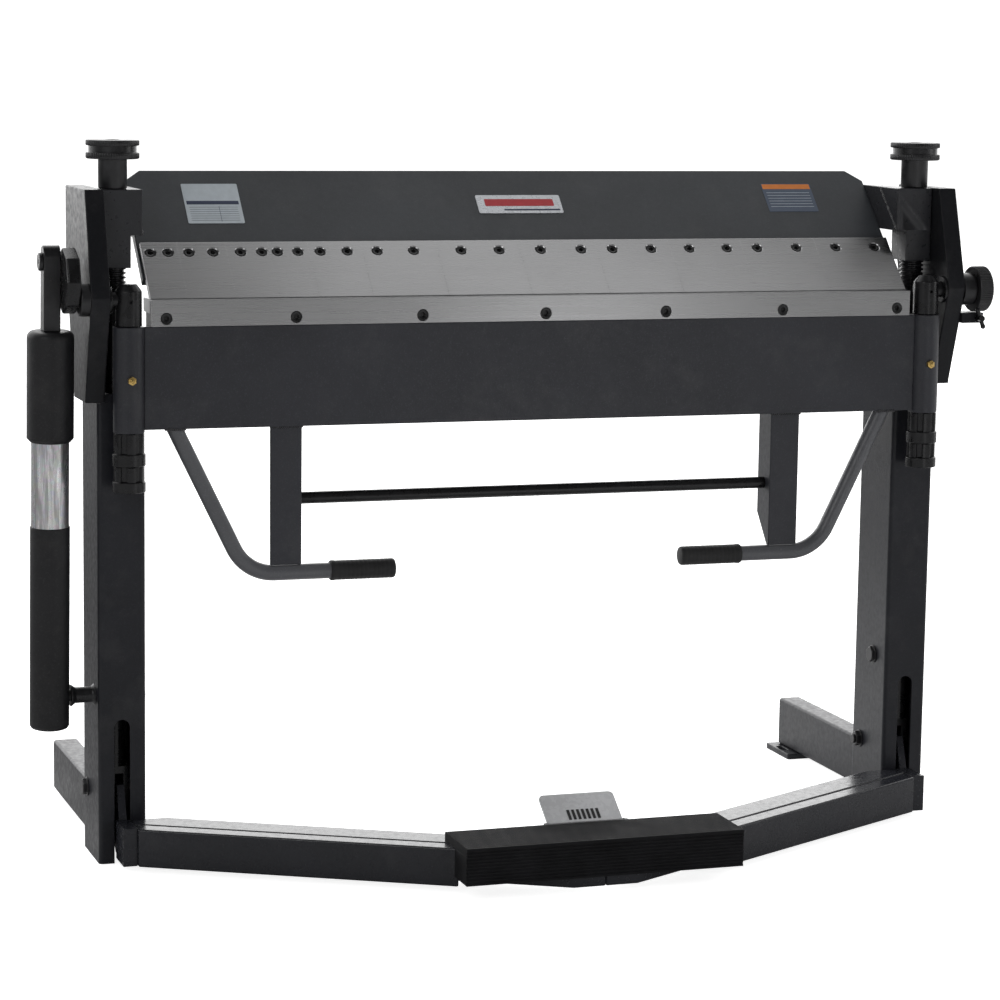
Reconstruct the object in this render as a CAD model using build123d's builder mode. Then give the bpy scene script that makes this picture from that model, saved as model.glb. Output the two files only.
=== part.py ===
from build123d import *
import os
from math import sin, cos, tan, radians, degrees, atan2, sqrt

os.makedirs("parts", exist_ok=True)

# ---------------------------------------------------------------------------
# Sheet metal folding brake, foot clamped, 1270 mm working width.
# Working frame used below: X along the bending line (centre = 0), Y towards
# the back (0 = front face of the folding strip), Z up from the floor.
# Every finished piece is moved by (-mid_x, -mid_y) so that the origin is the
# bottom centre of the whole machine.
# ---------------------------------------------------------------------------

# overall placing
mid_x = -18.5            # middle of the overall box in X
mid_y = 105.0            # middle of the overall box in Y

# bending line and working width
work_w = 1270.0          # strip, jaw and clamping fingers
hinge_y = 13.3           # bending line, also the hinge axis
hinge_z = 888.0

# legs
leg_x0, leg_x1 = 635.0, 710.0
leg_y0, leg_y1 = 47.0, 171.0
leg_top = 728.0
leg_wall = 5.0
slot_w = 25.0
slot_top = 229.0
slot_x = 673.0           # middle of the slot and of the pedal levers
lever_x = 673.0

# feet
foot_x0, foot_x1 = 652.0, 694.0
foot_z0, foot_z1 = 10.0, 95.0
foot_end = 521.0
pad_y0, pad_y1 = 431.0, 531.0
pad_x0, pad_x1 = 632.0, 684.0

# cheek plates
cheek_x0, cheek_x1 = 700.0, 730.0
cheek_top = 1053.0

# clamping screws / tie rods
rod_x, rod_y = 677.0, 85.0
thread_r = 20.0
thread_pitch = 7.0
rod_r = 14.0
knob_z0 = 1052.5
knob_top = 1127.0

# pedal
pivot_y, pivot_z = 140.0, 104.0
pivot_r = 8.0

# yoke posts and leaf sleeves
sleeve_x, sleeve_y = 668.6, 10.0
sleeve_r = 24.1
sleeve_z0, sleeve_z1 = 685.0, 847.0
yoke_r = 20.4
yoke_rod_r = 15.0
shaft_r = 13.0

# leaf
leaf_z0 = 689.0
strip_z0, strip_z1 = 846.8, 887.5
strip_t = 8.0
leaf_y0, leaf_y1 = 1.0, 13.0

# clamp beam, 45 degree front
s2 = sqrt(0.5)
nose_z = 888.3
finger_t = 12.0
finger_h = 80.6          # rise of the finger front
plate_t = 15.0
front_off = finger_t / s2   # horizontal distance from finger front to plate front

# assist strut
strut_x = -780.0
strut_bot = (83.0, 265.0)
strut_top = (48.3, 944.0)

run = 0.05               # running clearance


def save(bp, label):
    """label a finished sub-part, bring it to the machine's own origin, write it"""
    piece = bp.part.moved(Location((-mid_x, -mid_y, 0)))
    piece.label = label
    export_step(piece, "parts/" + label + ".step")


def yz(x):
    """plane at X = x whose local axes are (Y, Z); its normal is +X"""
    return Plane(origin=(x, 0, 0), x_dir=(0, 1, 0), z_dir=(1, 0, 0))


def xz(y):
    """plane at Y = y whose local axes are (X, Z); its normal is -Y"""
    return Plane(origin=(0, y, 0), x_dir=(1, 0, 0), z_dir=(0, -1, 0))


sides = (("left", -1), ("right", 1))

# ---------------------------------------------------------------------------
# Legs: rectangular tube with the lever slot in the front wall
# ---------------------------------------------------------------------------
for side, s in sides:
    lx = s * (leg_x0 + leg_x1) / 2
    ly = (leg_y0 + leg_y1) / 2
    with BuildPart() as leg:
        with BuildSketch(Plane.XY):
            with Locations((lx, ly)):
                RectangleRounded(leg_x1 - leg_x0, leg_y1 - leg_y0, 7)
                RectangleRounded(leg_x1 - leg_x0 - 2 * leg_wall,
                                 leg_y1 - leg_y0 - 2 * leg_wall, 3, mode=Mode.SUBTRACT)
        extrude(amount=leg_top)
        with BuildSketch(xz(leg_y0 - 5)):
            with Locations((s * slot_x, (slot_top - slot_w / 2) / 2)):
                Rectangle(slot_w, slot_top - slot_w / 2)
            with Locations((s * slot_x, slot_top - slot_w / 2)):
                Circle(slot_w / 2)
        extrude(amount=-14, mode=Mode.SUBTRACT)
        # pivot bolt bore through both side walls
        with BuildSketch(yz(lx - 60)):
            with Locations((pivot_y, pivot_z)):
                Circle(pivot_r)
        extrude(amount=120, mode=Mode.SUBTRACT)
        # spring seat bolt bore, inner wall only
        with BuildSketch(yz(s * leg_x0 - 10)):
            with Locations((97, 260)):
                Circle(6)
        extrude(amount=20, mode=Mode.SUBTRACT)
    save(leg, "leg_" + side)

# ---------------------------------------------------------------------------
# Rear feet: rectangular tube with an end cap and a bolt-down pad
# ---------------------------------------------------------------------------
for side, s in sides:
    fx = s * (foot_x0 + foot_x1) / 2
    with BuildPart() as foot:
        with BuildSketch(xz(leg_y1)):
            with Locations((fx, (foot_z0 + foot_z1) / 2)):
                RectangleRounded(foot_x1 - foot_x0, foot_z1 - foot_z0, 5)
                RectangleRounded(foot_x1 - foot_x0 - 8, foot_z1 - foot_z0 - 8, 2,
                                 mode=Mode.SUBTRACT)
        extrude(amount=-(foot_end - leg_y1))
        with BuildSketch(xz(foot_end - 4)):
            with Locations((fx, (foot_z0 + foot_z1) / 2)):
                RectangleRounded(foot_x1 - foot_x0, foot_z1 - foot_z0, 5)
        extrude(amount=-4)
        # pad plate with a slot for the floor bolt
        with BuildSketch(Plane.XY):
            with Locations((s * (pad_x0 + pad_x1) / 2, (pad_y0 + pad_y1) / 2)):
                RectangleRounded(pad_x1 - pad_x0, pad_y1 - pad_y0, 4)
            with Locations((s * 642, (pad_y0 + pad_y1) / 2)):
                SlotOverall(34, 12, rotation=90, mode=Mode.SUBTRACT)
        extrude(amount=foot_z0)
    save(foot, "foot_" + side)

# ---------------------------------------------------------------------------
# Cheek plates: 30 mm side plates that carry the hinge and guide the beam
# ---------------------------------------------------------------------------
cheek_outline = [(37, cheek_top), (-12, 891), (38, 733), (38, leg_top), (128, leg_top),
                 (190, 930), (191, cheek_top)]
for side, s in sides:
    with BuildPart() as cheek:
        with BuildSketch(yz(s * cheek_x0)):
            with BuildLine():
                Polyline(*cheek_outline, close=True)
            make_face()
            with Locations((hinge_y, hinge_z)):
                Circle(18, mode=Mode.SUBTRACT)
        extrude(amount=s * (cheek_x1 - cheek_x0))
    save(cheek, "cheek_" + side)

# ---------------------------------------------------------------------------
# Bed: ground jaw on a welded box beam that sits on the legs
# ---------------------------------------------------------------------------
with BuildPart() as bed_jaw:
    with BuildSketch(yz(-work_w / 2)):
        with BuildLine():
            Polyline((hinge_y, 888), (60, 888), (60, 870), (56, 866), (hinge_y, 866), close=True)
        make_face()
    extrude(amount=work_w)
save(bed_jaw, "bed_jaw")

with BuildPart() as bed_beam:
    # front web
    with BuildSketch(yz(-634)):
        with BuildLine():
            Polyline((16, 866), (46, 866), (46, 838), (178, 740), (190, 740), (190, leg_top),
                     (16, leg_top), close=True)
        make_face()
        with BuildLine():
            Polyline((40, 826), (158, 740), (40, 740), close=True)
        make_face(mode=Mode.SUBTRACT)
    extrude(amount=1268)
    # end plates
    for s in (-1, 1):
        with BuildSketch(yz(s * 622)):
            with BuildLine():
                Polyline((40, 828), (161, 738), (40, 738), close=True)
            make_face()
        extrude(amount=s * 12)
    # shoes that sit on the leg tops and butt against the cheeks
    for s in (-1, 1):
        with BuildSketch(Plane.XY.offset(leg_top)):
            with Locations((s * 667, 109)):
                Rectangle(66, 124)
            with Locations((s * rod_x, rod_y)):
                Circle(21.5, mode=Mode.SUBTRACT)
        extrude(amount=12)
save(bed_beam, "bed_beam")

# ---------------------------------------------------------------------------
# Frame hardware
# ---------------------------------------------------------------------------
with BuildPart() as pivot_bolts:
    for s in (-1, 1):
        # head on the outer wall, nut on the inner wall
        with BuildSketch(yz(s * leg_x1)):
            with Locations((pivot_y, pivot_z)):
                RegularPolygon(13, 6)
        extrude(amount=s * 9)
        with BuildSketch(yz(s * leg_x1)):
            with Locations((pivot_y, pivot_z)):
                Circle(pivot_r)
        extrude(amount=-s * (leg_x1 - leg_x0 + 14))
        with BuildSketch(yz(s * leg_x0)):
            with Locations((pivot_y, pivot_z)):
                RegularPolygon(13, 6)
        extrude(amount=-s * 10)
save(pivot_bolts, "pivot_bolts")

with BuildPart() as seat_bolts:
    for s in (-1, 1):
        with BuildSketch(yz(s * leg_x0)):
            with Locations((97, 260)):
                RegularPolygon(13.5, 6)
        extrude(amount=-s * 7.5)
        with BuildSketch(yz(s * leg_x0)):
            with Locations((97, 260)):
                Circle(15)
        extrude(amount=-s * 2.5)
        with BuildSketch(yz(s * leg_x0)):
            with Locations((97, 260)):
                Circle(6)
        extrude(amount=s * 11)
save(seat_bolts, "seat_bolts")

with BuildPart() as spring_seats:
    for s in (-1, 1):
        with BuildSketch(Plane.XY.offset(272)):
            with Locations((s * 672.5, 89)):
                Rectangle(65, 66)
            with Locations((s * rod_x, rod_y)):
                Circle(16, mode=Mode.SUBTRACT)
        extrude(amount=8)
        with BuildSketch(Plane.XY.offset(244)):
            with Locations((s * 645, 104)):
                Rectangle(10, 32)
        extrude(amount=28)
        with BuildSketch(yz(s * 640)):
            with Locations((97, 260)):
                Circle(6)
        extrude(amount=s * 6, mode=Mode.SUBTRACT)
save(spring_seats, "spring_seats")

# return springs around the tie rods, between seat and rod collar
spring_z0, spring_len, spring_r, wire_r = 280.0, 130.0, 21.0, 2.4
with BuildPart() as return_springs:
    for s in (-1, 1):
        with BuildLine(Plane(origin=(s * rod_x, rod_y, spring_z0 + wire_r))) as coil:
            Helix(pitch=(spring_len - 2 * wire_r) / 9, height=spring_len - 2 * wire_r,
                  radius=spring_r)
        with BuildSketch(Plane(origin=coil.line @ 0, z_dir=coil.line % 0)):
            Circle(wire_r)
        sweep(path=coil.line, is_frenet=True)
save(return_springs, "return_springs")

with BuildPart() as hinge_bushes:
    for s, boss_r, boss_end in ((-1, 25.0, 744.5), (1, 26.5, 752.5)):
        with BuildSketch(yz(s * 696.0)):
            with Locations((hinge_y, hinge_z)):
                Circle(22)
                Circle(shaft_r + run, mode=Mode.SUBTRACT)
        extrude(amount=s * 4)
        with BuildSketch(yz(s * cheek_x0)):
            with Locations((hinge_y, hinge_z)):
                Circle(18)
                Circle(shaft_r + run, mode=Mode.SUBTRACT)
        extrude(amount=s * (cheek_x1 - cheek_x0))
        with BuildSketch(yz(s * cheek_x1)):
            with Locations((hinge_y, hinge_z)):
                Circle(boss_r)
                Circle(shaft_r + run, mode=Mode.SUBTRACT)
        extrude(amount=s * (boss_end - cheek_x1))
save(hinge_bushes, "hinge_bushes")

# stub on the left leg that carries the assist strut
by, bz = strut_bot
with BuildPart() as strut_anchor:
    with BuildSketch(yz(-leg_x1)):
        with Locations((by, bz)):
            Circle(12.5)
    extrude(amount=-(748 - leg_x1))
    with BuildSketch(yz(-748)):
        with Locations((by, bz)):
            Circle(9.0)
    extrude(amount=-44)
save(strut_anchor, "strut_anchor")

# block under the right hub that carries the angle stop lock screw
lock_x, lock_z = 758.0, 841.0
with BuildPart() as lock_block:
    with BuildSketch(yz(cheek_x1)):
        with Locations((14, lock_z)):
            Rectangle(34, 17)
    extrude(amount=39)
    with BuildSketch(xz(-10)):
        with Locations((lock_x, lock_z)):
            Circle(5.06)
    extrude(amount=-30, mode=Mode.SUBTRACT)
save(lock_block, "lock_block")

# ---------------------------------------------------------------------------
# Clamp beam
# ---------------------------------------------------------------------------
pl_y = hinge_y + front_off          # plate front plane passes (pl_y, nose_z)
slope = Plane(origin=(0, pl_y, nose_z), x_dir=(1, 0, 0), z_dir=(0, -s2, s2))
plate_lo = 26.7 / s2
plate_hi = 263.5
with BuildPart() as beam_plate:
    with BuildSketch(slope):
        with BuildLine():
            Polyline((-636, plate_lo), (636, plate_lo), (636, plate_hi - 23),
                     (610, plate_hi), (-608, plate_hi), (-636, plate_hi - 23), close=True)
        make_face()
    extrude(amount=-plate_t)
save(beam_plate, "beam_plate")

# folded back plate and gussets that close the beam behind
def back_y(z):
    """Y of the plate's back face at height z"""
    return z - nose_z + pl_y + plate_t / s2


bk0, bk1 = 975.0, 1048.0
rear_y = back_y(bk1) + 12
with BuildPart() as beam_back:
    with BuildSketch(yz(-636)):
        with BuildLine():
            Polyline((back_y(bk0), bk0), (rear_y, bk0), (rear_y, bk1 + 12), (rear_y - 12, bk1),
                     (rear_y - 12, bk0 + 12), (back_y(bk0 + 12), bk0 + 12), close=True)
        make_face()
    extrude(amount=1272)
    for gx in (-630, -212, 200, 618):
        with BuildSketch(yz(gx)):
            with BuildLine():
                Polyline((back_y(bk0 + 11), bk0 + 11), (rear_y - 11, bk0 + 11),
                         (rear_y - 11, bk1 - 1), close=True)
            make_face()
        extrude(amount=12)
save(beam_back, "beam_back")

arm_top, arm_mid, arm_low = 1052.0, 982.0, 932.0
for side, s in sides:
    with BuildPart() as arm:
        with BuildSketch(Plane.XY.offset(arm_mid)):
            with BuildLine():
                Polyline((s * 636, 60), (s * 698.5, 60), (s * 698.5, 116), (s * 676, 116),
                         (s * 648, 196), (s * 636, 196), close=True)
            make_face()
        extrude(amount=arm_top - arm_mid)
        with BuildSketch(Plane.XY.offset(arm_low)):
            with Locations((s * (654 + 698.5) / 2, 88)):
                Rectangle(44.5, 56)
        extrude(amount=arm_mid - arm_low)
        # rounded inner corner under the arm
        inner = sorted((s * 635.9, s * 636.1))
        fillet(arm.edges().filter_by(Axis.Y).filter_by_position(Axis.X, inner[0], inner[1])
               .filter_by_position(Axis.Z, arm_mid - 0.1, arm_mid + 0.1), 7)
        with BuildSketch(Plane.XY.offset(arm_low - 5)):
            with Locations((s * rod_x, rod_y)):
                Circle(thread_r + 0.3)
        extrude(amount=140, mode=Mode.SUBTRACT)
    save(arm, "arm_" + side)

# clamping fingers: twelve ground segments of graded width on one line
finger_edges = [-633, -575.5, -499, -430.5, -367, -280.5, -156.5, -18, 113, 240.5, 367, 499.5, 633]
finger_gap = 0.3
finger_screws_x = [-620, -592, -559, -521, -477, -443, -418, -385, -349, -305, -256, -196,
                   -117, -53, 17, 86, 140, 207, 274, 340, 394, 464, 535, 605]
screw_s = (finger_h - 14.5) / s2        # distance up the slope of the screw row
with BuildPart() as clamp_fingers:
    for a, b in zip(finger_edges[:-1], finger_edges[1:]):
        with BuildSketch(yz(a + finger_gap / 2)):
            with BuildLine():
                Polyline((hinge_y, nose_z), (hinge_y + finger_h, nose_z + finger_h),
                         (hinge_y + finger_h + finger_t * s2, nose_z + finger_h - finger_t * s2),
                         (hinge_y + front_off, nose_z), close=True)
            make_face()
        extrude(amount=b - a - finger_gap)
    with BuildSketch(Plane(origin=(0, hinge_y, nose_z), x_dir=(1, 0, 0), z_dir=(0, -s2, s2))):
        with Locations(*[(x, screw_s) for x in finger_screws_x]):
            Circle(8.6)
    extrude(amount=-7.5, mode=Mode.SUBTRACT)
save(clamp_fingers, "clamp_fingers")

with BuildPart() as finger_screws:
    with BuildSketch(Plane(origin=(0, hinge_y + 0.7 * s2, nose_z - 0.7 * s2), x_dir=(1, 0, 0),
                           z_dir=(0, -s2, s2))):
        with Locations(*[(x, screw_s) for x in finger_screws_x]):
            Circle(8.3)
            RegularPolygon(4.3, 6, mode=Mode.SUBTRACT)
    extrude(amount=-4)
    with BuildSketch(Plane(origin=(0, hinge_y + 4.6 * s2, nose_z - 4.6 * s2), x_dir=(1, 0, 0),
                           z_dir=(0, -s2, s2))):
        with Locations(*[(x, screw_s) for x in finger_screws_x]):
            Circle(8.3)
    extrude(amount=-2.9)
save(finger_screws, "finger_screws")

# blank plates on the beam front
def plate_on_beam(cx, cs, w, h, t=0.8, r=2):
    with BuildPart() as p:
        with BuildSketch(slope):
            with Locations((cx, cs)):
                RectangleRounded(w, h, r)
        extrude(amount=t)
    return p


save(plate_on_beam(-501, 192.5, 90.5, 83), "data_plate")
save(plate_on_beam(8.5, 189, 144.5, 39), "front_badge")
save(plate_on_beam(490.5, 202, 89, 62), "side_label")

# ---------------------------------------------------------------------------
# Tie rods, threaded at the top, forked at the bottom
# ---------------------------------------------------------------------------
thread_z0, thread_z1 = 884.0, 1098.0
n_teeth = int((thread_z1 - thread_z0) / thread_pitch)
for side, s in sides:
    profile = [(0, 150), (rod_r, 150), (rod_r, 410), (25, 410), (25, 422), (rod_r, 422),
               (rod_r, thread_z0)]
    for i in range(n_teeth):
        z = thread_z0 + i * thread_pitch
        profile += [(thread_r - 3.2, z), (thread_r - 3.2, z + 2.0), (thread_r, z + 3.4),
                    (thread_r, z + 5.6), (thread_r - 3.2, z + thread_pitch)]
    top = thread_z0 + n_teeth * thread_pitch
    profile += [(0, top)]
    clean = [profile[0]]
    for pt in profile[1:]:
        if pt != clean[-1]:
            clean.append(pt)
    with BuildPart() as rod:
        with BuildSketch(Plane(origin=(s * rod_x, rod_y, 0), x_dir=(1, 0, 0), z_dir=(0, -1, 0))):
            with BuildLine():
                Polyline(*clean, close=True)
            make_face()
        revolve(axis=Axis((s * rod_x, rod_y, 0), (0, 0, 1)))
        # fork
        with BuildSketch(Plane.XY.offset(84)):
            with Locations((s * (lever_x + 1), rod_y)):
                Rectangle(32, 28)
        extrude(amount=66)
        with BuildSketch(Plane.XY.offset(80)):
            with Locations((s * lever_x, rod_y)):
                Rectangle(13.4, 40)
        extrude(amount=58, mode=Mode.SUBTRACT)
        with BuildSketch(yz(s * lever_x - 20)):
            with Locations((rod_y, pivot_z)):
                Circle(7)
        extrude(amount=40, mode=Mode.SUBTRACT)
    save(rod, "tie_rod_" + side)

with BuildPart() as rod_pins:
    for s in (-1, 1):
        with BuildSketch(yz(s * (lever_x + 1) - 15.5)):
            with Locations((rod_y, pivot_z)):
                Circle(7)
        extrude(amount=31)
save(rod_pins, "rod_pins")

for side, s in sides:
    k0, k1 = knob_z0, knob_top
    with BuildPart() as knob:
        with BuildSketch(Plane(origin=(s * rod_x, rod_y, 0), x_dir=(1, 0, 0), z_dir=(0, -1, 0))):
            with BuildLine():
                Polyline((thread_r + run, k0), (21.2, k0), (22.2, k0 + 2), (22.2, 1098),
                         (40, 1098), (41, 1099), (41, 1107), (40.3, 1107.8), (37, 1108),
                         (37, 1118), (40.3, 1118.2), (41, 1119), (41, k1 - 1.5), (39.5, k1),
                         (0, k1), (0, 1114), (thread_r + run, 1114), close=True)
            make_face()
        revolve(axis=Axis((s * rod_x, rod_y, 0), (0, 0, 1)))
    save(knob, "knob_" + side)

# ---------------------------------------------------------------------------
# Folding leaf
# ---------------------------------------------------------------------------
strip_screws_x = [-612, -408, -204, 0, 204, 408, 612]
strip_screw_z = 859.0
with BuildPart() as leaf_plate:
    with BuildSketch(xz(leaf_y0)):
        with Locations((0, (leaf_z0 + strip_z0) / 2)):
            Rectangle(1304, strip_z0 - leaf_z0)
    extrude(amount=-(leaf_y1 - leaf_y0))
    with BuildSketch(xz(strip_t)):
        with Locations((0, (strip_z0 + strip_z1) / 2)):
            Rectangle(work_w, strip_z1 - strip_z0)
    extrude(amount=-(leaf_y1 - strip_t))
    with BuildSketch(Plane.XY.offset(leaf_z0 - 5)):
        with Locations((-sleeve_x, sleeve_y), (sleeve_x, sleeve_y)):
            Circle(sleeve_r)
    extrude(amount=170, mode=Mode.SUBTRACT)
save(leaf_plate, "leaf_plate")

with BuildPart() as leaf_strip:
    with BuildSketch(xz(0)):
        with Locations((0, (strip_z0 + strip_z1) / 2)):
            Rectangle(work_w, strip_z1 - strip_z0)
    extrude(amount=-strip_t)
    with BuildSketch(xz(0)):
        with Locations(*[(x, strip_screw_z) for x in strip_screws_x]):
            Circle(8.3)
    extrude(amount=-6, mode=Mode.SUBTRACT)
save(leaf_strip, "leaf_strip")

with BuildPart() as strip_screws:
    with BuildSketch(xz(0.8)):
        with Locations(*[(x, strip_screw_z) for x in strip_screws_x]):
            Circle(8.0)
            RegularPolygon(4.2, 6, mode=Mode.SUBTRACT)
    extrude(amount=-3.2)
    with BuildSketch(xz(3.9)):
        with Locations(*[(x, strip_screw_z) for x in strip_screws_x]):
            Circle(8.0)
    extrude(amount=-2.1)
save(strip_screws, "strip_screws")

for side, s in sides:
    with BuildPart() as sleeve:
        with BuildSketch(Plane.XY.offset(sleeve_z0)):
            with Locations((s * sleeve_x, sleeve_y)):
                Circle(sleeve_r)
                Circle(yoke_rod_r + run, mode=Mode.SUBTRACT)
        extrude(amount=sleeve_z1 - sleeve_z0)
    save(sleeve, "sleeve_" + side)

with BuildPart() as grease_nipples:
    for s in (-1, 1):
        with BuildSketch(xz(sleeve_y - sleeve_r + 2)):
            with Locations((s * sleeve_x, 766.5)):
                RegularPolygon(6.8, 6)
        extrude(amount=6.9)
        with BuildSketch(Plane.XY.offset(755)):
            with Locations((s * sleeve_x, sleeve_y)):
                Circle(sleeve_r)
        extrude(amount=24, mode=Mode.SUBTRACT)
        with BuildSketch(xz(sleeve_y - sleeve_r - 4.9)):
            with Locations((s * sleeve_x, 766.5)):
                Circle(3.4)
        extrude(amount=3)
save(grease_nipples, "grease_nipples")

handle_y, handle_z, handle_r = 15.0, 457.8, 12.5
for side, s in sides:
    with BuildPart() as handle:
        with BuildLine() as hp:
            FilletPolyline((s * 598, handle_y, 689), (s * 483, handle_y, handle_z),
                           (s * 245, handle_y, handle_z), radius=60)
        with BuildSketch(Plane(origin=hp.line @ 0, z_dir=hp.line % 0)):
            Circle(handle_r)
        sweep(path=hp.line)
        # square cut under the leaf
        with BuildSketch(Plane.XY.offset(leaf_z0)):
            with Locations((s * 598, handle_y)):
                Rectangle(80, 60)
        extrude(amount=40, mode=Mode.SUBTRACT)
    save(handle, "handle_" + side)

with BuildPart() as hand_grips:
    for s in (-1, 1):
        with BuildSketch(yz(s * 242.5)):
            with Locations((handle_y, handle_z)):
                Circle(15.5)
        extrude(amount=s * 2.5)
        with BuildSketch(yz(s * 245)):
            with Locations((handle_y, handle_z)):
                Circle(15.5)
                Circle(handle_r, mode=Mode.SUBTRACT)
        extrude(amount=s * 103)
save(hand_grips, "hand_grips")

with BuildPart() as leaf_posts:
    for s in (-1, 1):
        with BuildSketch(yz(s * 396)):
            with BuildLine():
                Polyline((leaf_y1, 722), (58, 722), (58, 520), (16, 470.5), (8, 470.5),
                         (8, leaf_z0), (leaf_y1, leaf_z0), close=True)
            make_face()
        extrude(amount=s * 50)
        with BuildSketch(yz(s * 401)):
            with BuildLine():
                Polyline((leaf_y1 + 5, 725), (60, 725), (60, 465), (leaf_y1, 465),
                         (leaf_y1, leaf_z0 - 4), (leaf_y1 + 5, leaf_z0 - 4), close=True)
            make_face()
        extrude(amount=s * 50, mode=Mode.SUBTRACT)
save(leaf_posts, "leaf_posts")

with BuildPart() as cross_rod:
    with BuildSketch(yz(-396)):
        with Locations((35, 571.5)):
            Circle(9.5)
    extrude(amount=792)
save(cross_rod, "cross_rod")

# ---------------------------------------------------------------------------
# Hinge yokes, shafts and crank
# ---------------------------------------------------------------------------
for side, s in sides:
    with BuildPart() as yoke:
        with BuildSketch(Plane(origin=(s * sleeve_x, sleeve_y, 0), x_dir=(1, 0, 0),
                               z_dir=(0, -1, 0))):
            with BuildLine():
                Polyline((0, 592), (yoke_rod_r - 1.5, 592), (yoke_rod_r, 593.5),
                         (yoke_rod_r, 848), (yoke_r, 848), (yoke_r, 903.5), (13, 912),
                         (0, 912), close=True)
            make_face()
        revolve(axis=Axis((s * sleeve_x, sleeve_y, 0), (0, 0, 1)))
        with BuildSketch(yz(s * 652)):
            with Locations((hinge_y, hinge_z)):
                Circle(shaft_r)
        extrude(amount=s * 60, mode=Mode.SUBTRACT)
        with BuildSketch(xz(-12)):
            with Locations((s * sleeve_x, 886)):
                Circle(2.6)
        extrude(amount=-9, mode=Mode.SUBTRACT)
    save(yoke, "yoke_" + side)

with BuildPart() as hinge_shafts:
    for s, end in ((-1, 745.0), (1, 779.0)):
        with BuildSketch(yz(s * 652)):
            with Locations((hinge_y, hinge_z)):
                Circle(shaft_r)
        extrude(amount=s * (end - 652))
save(hinge_shafts, "hinge_shafts")

crank_y, crank_z, crank_r = 32.0, 916.0, 50.5
with BuildPart() as crank_plate:
    with BuildSketch(yz(-745)):
        with Locations((crank_y, crank_z)):
            RegularPolygon(crank_r, 8, rotation=0)
    extrude(amount=-21)
    fillet(crank_plate.edges().filter_by(Axis.X), 6)
save(crank_plate, "crank_plate")

# ---------------------------------------------------------------------------
# Adjusting nuts under the sleeves
# ---------------------------------------------------------------------------
for side, s in sides:
    for name, z1, body, z0 in (("adjust_nut_", 684.7, 653.0, 634.0),
                               ("lock_nut_", 633.7, 610.0, 593.5)):
        with BuildPart() as nut:
            with BuildSketch(Plane.XY.offset(body)):
                with Locations((s * sleeve_x, sleeve_y)):
                    Circle(23.5)
                    Circle(yoke_rod_r + run, mode=Mode.SUBTRACT)
            extrude(amount=z1 - body)
            with BuildSketch(Plane.XY.offset(z0)):
                with Locations((s * sleeve_x, sleeve_y)):
                    Circle(25.5)
                    Circle(yoke_rod_r + run, mode=Mode.SUBTRACT)
            extrude(amount=body - z0)
            # hook spanner notches
            with BuildSketch(Plane.XY.offset(body)):
                with Locations((s * sleeve_x, sleeve_y)):
                    with PolarLocations(23.5, 6, start_angle=15):
                        Rectangle(4, 6)
            extrude(amount=z1 - body + 1, mode=Mode.SUBTRACT)
        save(nut, name + side)

# ---------------------------------------------------------------------------
# Assist strut (left), built along its own axis
# ---------------------------------------------------------------------------
ty, tz = strut_top
strut_len = sqrt((ty - by) ** 2 + (tz - bz) ** 2)
strut_plane = Plane(origin=(strut_x, by, bz), x_dir=(1, 0, 0), z_dir=(0, ty - by, tz - bz))

tube_r = 29.0
with BuildPart() as strut_lower:
    with BuildSketch(strut_plane.offset(-50)):
        Circle(30.6)
    extrude(amount=321)
    with BuildSketch(strut_plane.offset(-22)):
        Circle(tube_r + 0.08)
    extrude(amount=300, mode=Mode.SUBTRACT)
    # cross boss for the anchor pin
    with BuildSketch(yz(strut_x - 30)):
        with Locations((by, bz)):
            Circle(17)
    extrude(amount=59.5)
    with BuildSketch(yz(strut_x - 14)):
        with Locations((by, bz)):
            Circle(9.0 + run)
    extrude(amount=80, mode=Mode.SUBTRACT)
save(strut_lower, "strut_lower")

with BuildPart() as strut_tube:
    with BuildSketch(strut_plane.offset(148)):
        Circle(tube_r)
        Circle(tube_r - 3, mode=Mode.SUBTRACT)
    extrude(amount=402)
save(strut_tube, "strut_tube")

with BuildPart() as strut_sleeve:
    with BuildSketch(strut_plane.offset(403.5)):
        Circle(36)
    extrude(amount=171)
    fillet(strut_sleeve.edges().filter_by(GeomType.CIRCLE).sort_by(Axis.Z)[-1], 9)
    chamfer(strut_sleeve.edges().filter_by(GeomType.CIRCLE).sort_by(Axis.Z)[0], 5)
    with BuildSketch(strut_plane.offset(398.5)):
        Circle(tube_r)
    extrude(amount=155, mode=Mode.SUBTRACT)
save(strut_sleeve, "strut_sleeve")

with BuildPart() as strut_bar:
    with BuildSketch(strut_plane.offset(574.5)):
        Rectangle(26, 30)
    extrude(amount=strut_len + 26 - 574.5)
    with BuildSketch(yz(strut_x - 20)):
        with Locations((ty, tz)):
            Circle(8)
    extrude(amount=40, mode=Mode.SUBTRACT)
save(strut_bar, "strut_bar")

with BuildPart() as strut_pin:
    with BuildSketch(yz(strut_x + 13)):
        with Locations((ty, tz)):
            Circle(8)
    extrude(amount=-26)
    with BuildSketch(yz(strut_x - 13)):
        with Locations((ty, tz)):
            Circle(14)
    extrude(amount=-6)
    chamfer(strut_pin.edges().filter_by(GeomType.CIRCLE).sort_by(Axis.X)[0], 1.5)
save(strut_pin, "strut_pin")

# ---------------------------------------------------------------------------
# Angle stop on the right hinge shaft
# ---------------------------------------------------------------------------
with BuildPart() as stop_collar:
    with BuildSketch(yz(753.3)):
        with Locations((hinge_y, hinge_z)):
            Circle(37.5)
            Circle(shaft_r + run, mode=Mode.SUBTRACT)
    extrude(amount=23.5)
    chamfer(stop_collar.edges().filter_by(GeomType.CIRCLE).filter_by(
        lambda e: e.radius > 30), 1.5)
save(stop_collar, "stop_collar")

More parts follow.
